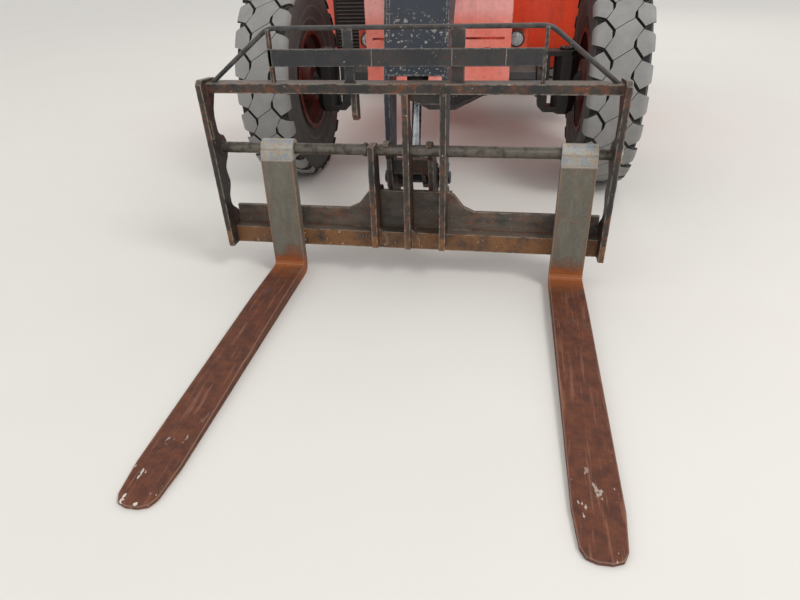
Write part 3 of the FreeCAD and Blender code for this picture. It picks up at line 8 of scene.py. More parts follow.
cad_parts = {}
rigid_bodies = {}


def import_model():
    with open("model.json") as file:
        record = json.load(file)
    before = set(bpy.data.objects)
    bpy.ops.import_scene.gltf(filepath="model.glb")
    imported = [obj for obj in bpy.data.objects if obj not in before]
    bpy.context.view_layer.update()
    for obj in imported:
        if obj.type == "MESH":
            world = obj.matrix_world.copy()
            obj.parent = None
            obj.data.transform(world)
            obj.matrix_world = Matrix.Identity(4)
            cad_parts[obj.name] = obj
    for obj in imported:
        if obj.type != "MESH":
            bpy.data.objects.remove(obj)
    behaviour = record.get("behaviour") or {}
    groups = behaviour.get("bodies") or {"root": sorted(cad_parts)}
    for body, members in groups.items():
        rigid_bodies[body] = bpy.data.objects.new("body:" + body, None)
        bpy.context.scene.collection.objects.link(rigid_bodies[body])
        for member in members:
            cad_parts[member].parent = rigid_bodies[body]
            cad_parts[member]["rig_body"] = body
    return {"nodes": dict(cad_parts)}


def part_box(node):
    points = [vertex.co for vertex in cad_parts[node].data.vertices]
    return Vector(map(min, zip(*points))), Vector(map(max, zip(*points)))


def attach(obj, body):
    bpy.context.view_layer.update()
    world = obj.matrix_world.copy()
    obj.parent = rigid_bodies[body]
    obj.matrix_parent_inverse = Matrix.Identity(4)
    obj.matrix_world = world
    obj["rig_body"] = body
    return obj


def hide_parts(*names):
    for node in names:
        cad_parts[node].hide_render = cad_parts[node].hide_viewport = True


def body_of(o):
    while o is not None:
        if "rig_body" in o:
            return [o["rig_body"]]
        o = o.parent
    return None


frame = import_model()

bl_info = {
    "name": "Telehandler dressing",
    "version": (1, 0, 0),
    "blender": (4, 5, 0),
    "location": "3D View > Sidebar > Telehandler",
    "description": "Dresses the telehandler's frame with tread, fittings, paint and wear",
    "category": "Object",
}

# Places and sizes are in millimetres in the row frame: the machine faces -Y and +X is its left, the cab's side.
# They repeat the frame's own sizes where a piece stands for a node or sits on one.
MM = 0.001
AXLES = {"front": -483, "rear": 2817}
WHEEL_X = 1050
AXLE_Z = 645
TYRE_RADIUS = 645
KINGPIN_X = 800
FORK_FACE_Y = -2143
CARRIAGE_HALF = 914
SHAFT_Y, SHAFT_Z, SHAFT_RADIUS = -2083, 632, 25.4
BAR_TOP_Z = 230
BOOM_SLOPE = math.radians(8)
BOOM_PIVOT = (2950, 2080)
OUTER_BOOM_HALF = 260
CAB_X0, CAB_X1, CAB_Y0, CAB_Y1, CAB_Z1 = 405, 1180, 310, 1850, 2540
CAB_FLOOR = 725
SEAT_MIDDLE = 792.5
SCREEN_FOOT_Z, SCREEN_LEAN = 1150, 230  # the front screen leans back by this much up to the roof
SCREEN_OUT = Vector((0, -0.9866, 0.1632))
REAR_WALL_FOOT_Z, REAR_WALL_LEAN = 1500, 90
POD_X0, POD_Y0, POD_Y1, HOOD_Z1 = -1100, 340, 1980, 1560
FRAME_X = 260


# Mesh building, all in millimetres

def lathe(bm, start, axis, profile, count=48, material=0):
    """Turn a profile of (along, radius) rows round an axis; a radius of 0 closes that end."""
    axis = Vector(axis).normalized()
    side = axis.orthogonal().normalized()
    other = axis.cross(side)
    rings = []
    for along, radius in profile:
        centre = Vector(start) + axis * along
        if radius == 0:
            rings.append([bm.verts.new(centre)])
            continue
        turns = [2 * math.pi * i / count for i in range(count)]
        rings.append([bm.verts.new(centre + (side * math.cos(a) + other * math.sin(a)) * radius) for a in turns])
    for low, high in zip(rings, rings[1:]):
        if len(low) == 1 and len(high) == 1:
            continue
        for i in range(count):
            j = (i + 1) % count
            near = low[:1] if len(low) == 1 else [low[i], low[j]]
            far = high[:1] if len(high) == 1 else [high[j], high[i]]
            bm.faces.new(near + far).material_index = material


def prism(bm, corners, offset, material=0):
    """A solid between a flat outline and its copy moved by offset."""
    offset = Vector(offset)
    low = [bm.verts.new(Vector(c)) for c in corners]
    high = [bm.verts.new(Vector(c) + offset) for c in corners]
    faces = [bm.faces.new(low[::-1]), bm.faces.new(high)]
    count = len(corners)
    faces += [bm.faces.new((low[i], low[(i + 1) % count], high[(i + 1) % count],
                            high[i])) for i in range(count)]
    for face in faces:
        face.material_index = material
    return faces


def box(bm, low, high, material=0):
    """An upright box between its lowest and its highest corner."""
    x0, y0, z0 = low
    x1, y1, z1 = high
    return prism(bm, [(x0, y0, z0), (x1, y0, z0), (x1, y1, z0), (x0, y1, z0)], (0, 0, z1 - z0), material)


def rounded(points, radius, steps=5, closed=True):
    """The points of a line with its corners rounded off."""
    line = []
    count = len(points)
    for i, point in enumerate(points):
        point = Vector(point)
        if not closed and i in (0, count - 1):
            line.append(point)
            continue
        before = Vector(points[i - 1]) - point
        after = Vector(points[(i + 1) % count]) - point
        reach = min(radius, before.length / 2.1, after.length / 2.1)
        a, b = point + before.normalized() * reach, point + after.normalized() * reach
        for k in range(steps + 1):
            t = k / steps
            line.append(a * (1 - t) ** 2 + point * 2 * t * (1 - t) + b * t ** 2)
    return line


def tube(bm, points, radius, count=12, closed=False, swell=None, material=0):
    """A round bar along a line; swell gives each ring its own share of the radius."""
    points = [Vector(p) for p in points]
    total = len(points)
    rings = []
    side = None
    for i, point in enumerate(points):
        before = points[i - 1] if i or closed else point
        after = points[(i + 1) % total] if i < total - 1 or closed else point
        along = (after - before).normalized()
        if side is None:
            side = along.orthogonal().normalized()
        side = (side - along * side.dot(along)).normalized()
        other = along.cross(side)
        size = radius * (swell[i % len(swell)] if swell else 1)
        turns = [2 * math.pi * k / count for k in range(count)]
        rings.append([bm.verts.new(point + (side * math.cos(a) + other * math.sin(a)) * size) for a in turns])
    pairs = list(zip(rings, rings[1:]))
    if closed:
        pairs.append((rings[-1], rings[0]))
    for low, high in pairs:
        shift = 0
        if closed and high is rings[0]:
            gaps = [(low[0].co - v.co).length for v in high]
            shift = gaps.index(min(gaps))
        for k in range(count):
            m = (k + 1) % count
            face = bm.faces.new((low[k], low[m], high[(m + shift) % count], high[(k + shift) % count]))
            face.material_index = material
    if not closed:
        for ring in (rings[0][::-1], rings[-1]):
            bm.faces.new(ring).material_index = material


def hexagon(bm, centre, axis, across, height, material=0):
    """A hexagon bolt head or nut with a washer, standing on centre."""
    axis = Vector(axis).normalized()
    corner, washer = across / math.sqrt(3), across * 0.62
    thick, sunk = across * 0.1, across * 0.08
    chamfer_start, chamfer_end = height * 0.88, corner * 0.86
    lathe(bm, centre, axis, [(0, washer), (thick, washer), (thick, 0)], 20, material)
    lathe(bm, centre, axis, [(sunk, corner), (chamfer_start, corner), (height, chamfer_end), (height, 0)], 6,
          material)


def weld(bm, start, end, radius, material=0):
    """A rippled weld bead from start to end."""
    start, end = Vector(start), Vector(end)
    ripple = 6
    count = max(4, int((end - start).length / ripple) * 2)
    points = [start.lerp(end, i / count) for i in range(count + 1)]
    tube(bm, points, radius, 6, swell=(0.82, 1.0, 1.06, 1.0), material=material)


def finish_piece(name, bm, node, materials, stands_for=(), bevel=0.0, crease=35):
    """Turn a mesh in millimetres into a piece that rides with the node that carries it."""
    mesh = bpy.data.meshes.new(name)
    bmesh.ops.recalc_face_normals(bm, faces=bm.faces)
    bm.transform(Matrix.Scale(MM, 4))
    bm.to_mesh(mesh)
    bm.free()
    if not mesh.polygons:
        raise RuntimeError(f"{name} has no surface")
    for material in materials:
        mesh.materials.append(bpy.data.materials[material])
    mesh.polygons.foreach_set("use_smooth", [True] * len(mesh.polygons))
    mesh.set_sharp_from_angle(angle=math.radians(crease))
    piece = bpy.data.objects.new(name, mesh)
    bpy.context.scene.collection.objects.link(piece)
    if bevel:
        soften(piece, bevel)
    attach(piece, body_of(frame["nodes"][node])[0])
    if stands_for:
        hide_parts(*stands_for)
    return piece


def soften(piece, width):
    """Round a piece's edges by a few millimetres, as cut and ground plate has them."""
    edge = piece.modifiers.new("Edges", "BEVEL")
    edge.width = width * MM
    edge.segments = 2
    edge.limit_method = "ANGLE"
    edge.angle_limit = math.radians(32)
    edge.use_clamp_overlap = False
    edge.harden_normals = True
    edge.miter_outer = "MITER_ARC"


# Colours and materials

def linear(code):
    """A hex colour as seen on screen, as the linear colour that a shader takes."""
    parts = [int(code[i:i + 2], 16) / 255 for i in (1, 3, 5)]
    return tuple(p / 12.92 if p <= 0.04045 else ((p + 0.055) / 1.055) ** 2.4 for p in parts)


def add(tree, kind, inputs=None, out=0, **settings):
    """Add a node with its settings, inputs as values or sockets, and give back one of its outputs."""
    node = tree.nodes.new(kind)
    for name, value in settings.items():
        setattr(node, name, value)
    for name, value in (inputs or {}).items():
        if isinstance(value, bpy.types.NodeSocket):
            tree.links.new(value, node.inputs[name])
        else:
            node.inputs[name].default_value = value
    return node.outputs[out] if node.outputs else node


def start_material(name, shader_inputs):
    """A new material with its shader, and its place on the object in metres."""
    material = bpy.data.materials.new(name)
    material.use_nodes = True
    tree = material.node_tree
    tree.nodes.clear()
    shader = tree.nodes.new("ShaderNodeBsdfPrincipled")
    for key, value in shader_inputs.items():
        shader.inputs[key].default_value = value
    add(tree, "ShaderNodeOutputMaterial", {0: shader.outputs[0]})
    return tree, shader, add(tree, "ShaderNodeTexCoord", out=3)


def patches(tree, place, size, low, high, stretch=(1, 1, 1), detail=4.0, seed=0.0):
    """Cloudy patches of about size millimetres, as a mask from 0 to 1 between two noise levels."""
    moved = add(tree, "ShaderNodeMapping", {0: place, 1: (seed, seed * 0.7, seed * 1.3), 3: stretch})
    noise = add(tree, "ShaderNodeTexNoise", {"Vector": moved, "Scale": 1000 / size, "Detail": detail,
                                             "Roughness": 0.62})
    return add(tree, "ShaderNodeMapRange", {0: noise, 1: low, 2: high})


def corners_mask(tree, reach):
    """Mask that is 1 on the surface's corners and fades out within reach millimetres."""
    rounded_normal = add(tree, "ShaderNodeBevel", {"Radius": reach * MM}, samples=4)
    plain = add(tree, "ShaderNodeNewGeometry", out=1)
    same = add(tree, "ShaderNodeVectorMath", {0: rounded_normal, 1: plain}, out=1, operation="DOT_PRODUCT")
    return add(tree, "ShaderNodeMapRange", {0: same, 1: 0.998, 2: 0.93})


def upward_mask(tree, low, high):
    """Mask of the faces that look up, where dust settles."""
    normal = add(tree, "ShaderNodeNewGeometry", out=1)
    height = add(tree, "ShaderNodeSeparateXYZ", {0: normal}, out=2)
    return add(tree, "ShaderNodeMapRange", {0: height, 1: low, 2: high})


def between(tree, level, low, high, fade):
    """Mask between two levels in millimetres, which fades out over fade millimetres beyond them."""
    after = add(tree, "ShaderNodeMapRange", {0: level, 1: (low - fade) * MM, 2: low * MM})
    before = add(tree, "ShaderNodeMapRange", {0: level, 1: (high + fade) * MM, 2: high * MM})
    return add(tree, "ShaderNodeMath", {0: after, 1: before}, operation="MULTIPLY")


def mixed(tree, colours):
    """Lay colours over a first one: rows of (mask, share, colour)."""
    result = colours[0]
    for mask, share, colour in colours[1:]:
        part = add(tree, "ShaderNodeMath", {0: mask, 1: share}, operation="MULTIPLY")
        over = colour if isinstance(colour, bpy.types.NodeSocket) else (*linear(colour), 1)
        under = result if isinstance(result, bpy.types.NodeSocket) else (*linear(result), 1)
        result = add(tree, "ShaderNodeMix", {0: part, 6: under, 7: over}, out=2, data_type="RGBA")
    return result


def relief(tree, shader, layers):
    """Bump the surface by rows of (height mask, depth in millimetres)."""
    normal = None
    for height, depth in layers:
        inputs = {"Height": height, "Distance": depth * MM, "Strength": 1.0}
        if normal:
            inputs["Normal"] = normal
        normal = add(tree, "ShaderNodeBump", inputs)
    tree.links.new(normal, shader.inputs["Normal"])


def enamel(name, colour, faded, chip, fade=0.5, chips=0.8, dusty=0.4, rough=0.42, run=0.35, struck=(),
           bleached=()):
    """Sprayed enamel on steel plate: faded in patches, chipped at its corners, streaked and dusty. Struck gives
    the lowest and highest level in millimetres of a stretch that loads and stones have chipped all over, and
    bleached the two levels between which the sun's bleaching sets in, and its colour."""
    tree, shader, place = start_material(name, {"Metallic": 0.0, "IOR": 1.5, "Coat Weight": 0.0})
    fading = patches(tree, place, 420, 0.36, 0.66)
    mottle = patches(tree, place, 38, 0.42, 0.72, seed=3)
    runs = patches(tree, place, 60, 0.52, 0.74, stretch=(1, 1, 0.12), seed=7)
    settled = upward_mask(tree, 0.45, 1.0)
    film = patches(tree, place, 160, 0.25, 0.75, seed=11)
    dusting = add(tree, "ShaderNodeMath", {0: settled, 1: film}, operation="MULTIPLY")
    worn = corners_mask(tree, 7)
    flakes = patches(tree, place, 16, 0.47, 0.53, seed=19)
    spots = patches(tree, place, 13, 0.735, 0.75, detail=2.0, seed=23)
    edge = add(tree, "ShaderNodeMath", {0: worn, 1: flakes}, operation="MULTIPLY")
    chipped = add(tree, "ShaderNodeMath", {0: edge, 1: spots}, operation="MAXIMUM")
    if struck:
        level = add(tree, "ShaderNodeSeparateXYZ", {0: place}, out=2)
        stretch_hit = between(tree, level, *struck, 60)
        pocks = patches(tree, place, 17, 0.6, 0.63, detail=2.5, seed=31)
        hit = add(tree, "ShaderNodeMath", {0: stretch_hit, 1: pocks}, operation="MULTIPLY")
        chipped = add(tree, "ShaderNodeMath", {0: chipped, 1: hit}, operation="MAXIMUM")
    if bleached:
        level = add(tree, "ShaderNodeSeparateXYZ", {0: place}, out=2)
        sunny = add(tree, "ShaderNodeMapRange", {0: level, 1: bleached[0] * MM, 2: bleached[1] * MM})
        colour = mixed(tree, [colour, (sunny, 0.8, bleached[2])])
    base = mixed(tree, [colour, (fading, fade, faded), (mottle, 0.16, "#2a211c"), (runs, run, "#4a3a30"),
                        (dusting, dusty, "#9d9486"), (chipped, chips, chip)])
    tree.links.new(base, shader.inputs["Base Color"])
    gloss = add(tree, "ShaderNodeMapRange", {0: mottle, 3: rough - 0.08, 4: rough + 0.14})
    dull = add(tree, "ShaderNodeMath", {0: dusting, 1: 0.3}, operation="MULTIPLY")
    roughness = add(tree, "ShaderNodeMath", {0: gloss, 1: dull}, operation="ADD", use_clamp=True)
    tree.links.new(roughness, shader.inputs["Roughness"])
    peel = patches(tree, place, 2.6, 0.3, 0.7, detail=1.0)
    sunk = add(tree, "ShaderNodeMath", {0: 1.0, 1: chipped}, operation="SUBTRACT")
    relief(tree, shader, [(peel, 0.03), (sunk, 0.3)])


def facing_front(tree, place, axis, low, high):
    """Mask of the faces that look forward, between two places in millimetres along an axis: 1 for y, 2 for z."""
    normal = add(tree, "ShaderNodeNewGeometry", out=1)
    forward = add(tree, "ShaderNodeSeparateXYZ", {0: normal}, out=1)
    looks = add(tree, "ShaderNodeMapRange", {0: forward, 1: -0.5, 2: -0.8})
    spot = add(tree, "ShaderNodeSeparateXYZ", {0: place}, out=axis)
    return add(tree, "ShaderNodeMath", {0: looks, 1: between(tree, spot, low, high, 4)}, operation="MULTIPLY")


def scuffed_steel(name, colour, worn, rust, bright, rusty, scratched):
    """Heavy plate whose black paint is mostly rubbed off: rust in patches, bright scuffs on its corners, a bottom
    bar that rusts where it drags through dirt, and dust on the back plate that loads rub against."""
    tree, shader, place = start_material(name, {"Metallic": 0.0, "IOR": 1.5})
    broad = patches(tree, place, 170, 0.42, 0.62, seed=2)
    small = patches(tree, place, 22, 0.46, 0.58, seed=5)
    rusting = add(tree, "ShaderNodeMath", {0: broad, 1: small}, operation="MULTIPLY")
    fine = patches(tree, place, 9, 0.5, 0.62, seed=9)
    rub = corners_mask(tree, 9)
    broken = patches(tree, place, 26, 0.4, 0.55, seed=13)
    rubbed = add(tree, "ShaderNodeMath", {0: rub, 1: broken}, operation="MULTIPLY")
    flecks = patches(tree, place, 12, 0.715, 0.73, detail=2.0, seed=29)
    dusting = upward_mask(tree, 0.5, 1.0)
    low_bar = facing_front(tree, place, 2, 140, BAR_TOP_Z - 2)
    ochre = patches(tree, place, 75, 0.3, 0.56, seed=37)
    drag = add(tree, "ShaderNodeMath", {0: low_bar, 1: ochre}, operation="MULTIPLY")
    plate = facing_front(tree, place, 1, FORK_FACE_Y + 100, FORK_FACE_Y + 116)
    smear = patches(tree, place, 55, 0.3, 0.62, stretch=(0.4, 1, 1), seed=41)
    rub_dust = add(tree, "ShaderNodeMath", {0: plate, 1: smear}, operation="MULTIPLY")
    base = mixed(tree, [colour, (broad, 0.55, worn), (rusting, rusty, rust), (rub_dust, 0.6, "#71675b"),
                        (drag, 0.8, "#7d532c"), (fine, 0.3, "#17130f"), (dusting, 0.3, "#857b6e"),
                        (rubbed, scratched, bright), (flecks, 0.8, "#cfc8ba")])
    tree.links.new(base, shader.inputs["Base Color"])
    roughness = add(tree, "ShaderNodeMapRange", {0: rusting, 3: 0.5, 4: 0.85})
    tree.links.new(roughness, shader.inputs["Roughness"])
    relief(tree, shader, [(small, 0.12), (fine, 0.08)])


def fork_steel(name):
    """Forged fork: rust brown blade rubbed along its length, orange heel, grey shank and bright eye."""
    tree, shader, place = start_material(name, {"Metallic": 0.25, "IOR": 1.5})
    along = add(tree, "ShaderNodeSeparateXYZ", {0: place}, out=1)
    height = add(tree, "ShaderNodeSeparateXYZ", {0: place}, out=2)
    cloud = patches(tree, place, 120, 0.35, 0.65, seed=1)
    shift = add(tree, "ShaderNodeMath", {0: cloud, 1: 0.09}, operation="MULTIPLY")
    lifted = add(tree, "ShaderNodeMath", {0: height, 1: shift}, operation="ADD")
    shank = add(tree, "ShaderNodeMapRange", {0: lifted, 1: 0.13, 2: 0.19})
    heel_low = add(tree, "ShaderNodeMapRange",
                   {0: along, 1: (FORK_FACE_Y - 150) * MM, 2: (FORK_FACE_Y - 20) * MM})
    heel_high = add(tree, "ShaderNodeMapRange", {0: lifted, 1: 0.2, 2: 0.11})
    heel = add(tree, "ShaderNodeMath", {0: heel_low, 1: heel_high}, operation="MULTIPLY")
    eye = add(tree, "ShaderNodeMapRange", {0: height, 1: 0.583, 2: 0.592})
    tip = add(tree, "ShaderNodeMapRange",
              {0: along, 1: (FORK_FACE_Y - 1080) * MM, 2: (FORK_FACE_Y - 1500) * MM})
    rust = patches(tree, place, 45, 0.38, 0.62, seed=4)
    grit = patches(tree, place, 7, 0.5, 0.66, seed=6)
    rubs = patches(tree, place, 14, 0.56, 0.66, stretch=(1, 0.05, 1), seed=8)
    chips = patches(tree, place, 24, 0.64, 0.67, detail=3.0, stretch=(1, 0.45, 1), seed=10)
    tip_chips = add(tree, "ShaderNodeMath", {0: tip, 1: chips}, operation="MULTIPLY")
    stains = patches(tree, place, 80, 0.5, 0.72, seed=12)
    worn = corners_mask(tree, 8)
    near_edge = corners_mask(tree, 34)
    bleed = patches(tree, place, 48, 0.3, 0.6, seed=14)
    brown_edge = add(tree, "ShaderNodeMath", {0: near_edge, 1: bleed}, operation="MULTIPLY")
    temper = patches(tree, place, 42, 0.42, 0.62, seed=16)
    straw = patches(tree, place, 30, 0.45, 0.65, seed=18)
    mill = patches(tree, place, 30, 0.4, 0.66, stretch=(1, 1, 0.3), seed=20)
    base = mixed(tree, ["#50291b", (rust, 0.75, "#6f3b22"), (rubs, 0.5, "#8b5b43"), (heel, 0.8, "#a05b2b"),
                        (shank, 0.95, "#66645a")])
    shank_edge = add(tree, "ShaderNodeMath", {0: shank, 1: brown_edge}, operation="MULTIPLY")
    shank_mill = add(tree, "ShaderNodeMath", {0: shank, 1: mill}, operation="MULTIPLY")
    bright_eye = mixed(tree, ["#a9a8a1", (temper, 0.7, "#8593a3"), (straw, 0.55, "#b79a70")])
    base = mixed(tree, [base, (shank_mill, 0.45, "#7e7c71"), (shank_edge, 0.6, "#7c4a2b"),
                        (stains, 0.3, "#7d4f2e"),
                        (eye, 0.9, bright_eye), (grit, 0.35, "#33241c"), (tip_chips, 0.9, "#d9d2c6"),
                        (worn, 0.35, "#c0a58f")])
    tree.links.new(base, shader.inputs["Base Color"])
    roughness = add(tree, "ShaderNodeMapRange", {0: rubs, 3: 0.68, 4: 0.45})
    tree.links.new(roughness, shader.inputs["Roughness"])
    relief(tree, shader, [(rust, 0.25), (grit, 0.15), (rubs, 0.1)])


def rubber(name, colour, dusting, dusty, rough):
    """Tyre rubber, ground dull by the road, with dust in its pores and fine cuts, and a painted highlight along its
    edges.
    """
    tree, shader, place = start_material(name, {"Metallic": 0.0, "IOR": 1.52})
    film = patches(tree, place, 110, 0.3, 0.7, seed=1)
    pores = patches(tree, place, 5, 0.42, 0.6, seed=3)
    cuts = patches(tree, place, 9, 0.66, 0.7, detail=2.0, seed=5)
    # rub marks every edge; the pale colour laid on it below is a painted highlight, not wear
    rub = corners_mask(tree, 5)
    base = mixed(tree, [colour, (film, dusty, dusting), (pores, 0.3, dusting), (cuts, 0.3, "#3a3936"),
                        (rub, 0.3, "#a9a69f")])
    tree.links.new(base, shader.inputs["Base Color"])
    roughness = add(tree, "ShaderNodeMapRange", {0: film, 3: rough, 4: rough + 0.08})
    tree.links.new(roughness, shader.inputs["Roughness"])
    relief(tree, shader, [(pores, 0.2), (cuts, 0.2)])


def bare_metal(name, colour, stain, rough, grain, stained=0.4, metallic=1.0):
    """Bare metal: turned, ground or cast, with a fine grain and stains."""
    tree, shader, place = start_material(name, {"Metallic": metallic})
    stains = patches(tree, place, 34, 0.45, 0.7, seed=2)
    marks = patches(tree, place, grain, 0.35, 0.65, stretch=(1, 0.2, 1), seed=4)
    base = mixed(tree, [colour, (stains, stained, stain), (marks, 0.18, stain)])
    tree.links.new(base, shader.inputs["Base Color"])
    roughness = add(tree, "ShaderNodeMapRange", {0: stains, 3: rough, 4: min(0.95, rough + 0.3)})
    tree.links.new(roughness, shader.inputs["Roughness"])
    relief(tree, shader, [(marks, 0.03)])


def moulded(name, colour, rough, grain, depth):
    """Moulded plastic or vinyl with a fine pressed grain and some dust."""
    tree, shader, place = start_material(name, {"Metallic": 0.0, "IOR": 1.49})
    cells = add(tree, "ShaderNodeTexVoronoi", {"Vector": place, "Scale": 1000 / grain},
                feature="DISTANCE_TO_EDGE")
    pressed = add(tree, "ShaderNodeMapRange", {0: cells, 1: 0.0, 2: 0.16})
    film = patches(tree, place, 90, 0.35, 0.75, seed=3)
    top = upward_mask(tree, 0.2, 1.0)
    dusting = add(tree, "ShaderNodeMath", {0: film, 1: top}, operation="MULTIPLY")
    base = mixed(tree, [colour, (film, 0.2, "#55504a"), (dusting, 0.25, "#8d857a")])
    tree.links.new(base, shader.inputs["Base Color"])
    roughness = add(tree, "ShaderNodeMapRange", {0: film, 3: rough, 4: rough + 0.15})
    tree.links.new(roughness, shader.inputs["Roughness"])
    relief(tree, shader, [(pressed, depth)])


def clear(name, colour, rough, see_through):
    """Glass or clear plastic with a thin film of dust."""
    tree, shader, place = start_material(name,
                                         {"Metallic": 0.0, "IOR": 1.5, "Transmission Weight": see_through})
    film = patches(tree, place, 130, 0.4, 0.75, seed=1)
    base = mixed(tree, [colour, (film, 0.25, "#8f887c")])
    tree.links.new(base, shader.inputs["Base Color"])
    roughness = add(tree, "ShaderNodeMapRange", {0: film, 3: rough, 4: rough + 0.12})
    tree.links.new(roughness, shader.inputs["Roughness"])


class TELEHANDLER_PG_colours(bpy.types.PropertyGroup):
    """Colours that an owner would repaint"""
    cab: bpy.props.FloatVectorProperty(name="Cab", description="Cab, hood and boom enamel", subtype="COLOR",
                                       size=3, min=0, max=1, default=linear("#e0401f"))
    front: bpy.props.FloatVectorProperty(name="Front plate", description="Sun-faded front plate",
                                         subtype="COLOR",
                                         size=3, min=0, max=1, default=linear("#e56a55"))


def hex_of(colour):
    """The hex code, as seen on screen, of a linear colour."""
    codes = [12.92 * c if c <= 0.0031308 else 1.055 * c ** (1 / 2.4) - 0.055 for c in colour]
    return "#" + "".join(f"{round(255 * min(1, max(0, c))):02x}" for c in codes)


class TELEHANDLER_PG_tyres(bpy.types.PropertyGroup):
    """Tread of the tyres"""
    pitches: bpy.props.IntProperty(name="Pitches", description="Blocks round the tyre", default=24, min=16,
                                   max=32)
    groove: bpy.props.FloatProperty(name="Groove", description="Width of the open grooves", default=0.016,
                                    min=0.004, max=0.03, unit="LENGTH")
    sipe: bpy.props.FloatProperty(name="Sipe", description="Width of the closed cuts between blocks",
                                  default=0.003,
                                  min=0.001, max=0.01, unit="LENGTH")
    depth: bpy.props.FloatProperty(name="Depth", description="Depth of the tread", default=0.024,
                                   min=0.01, max=0.04, unit="LENGTH")


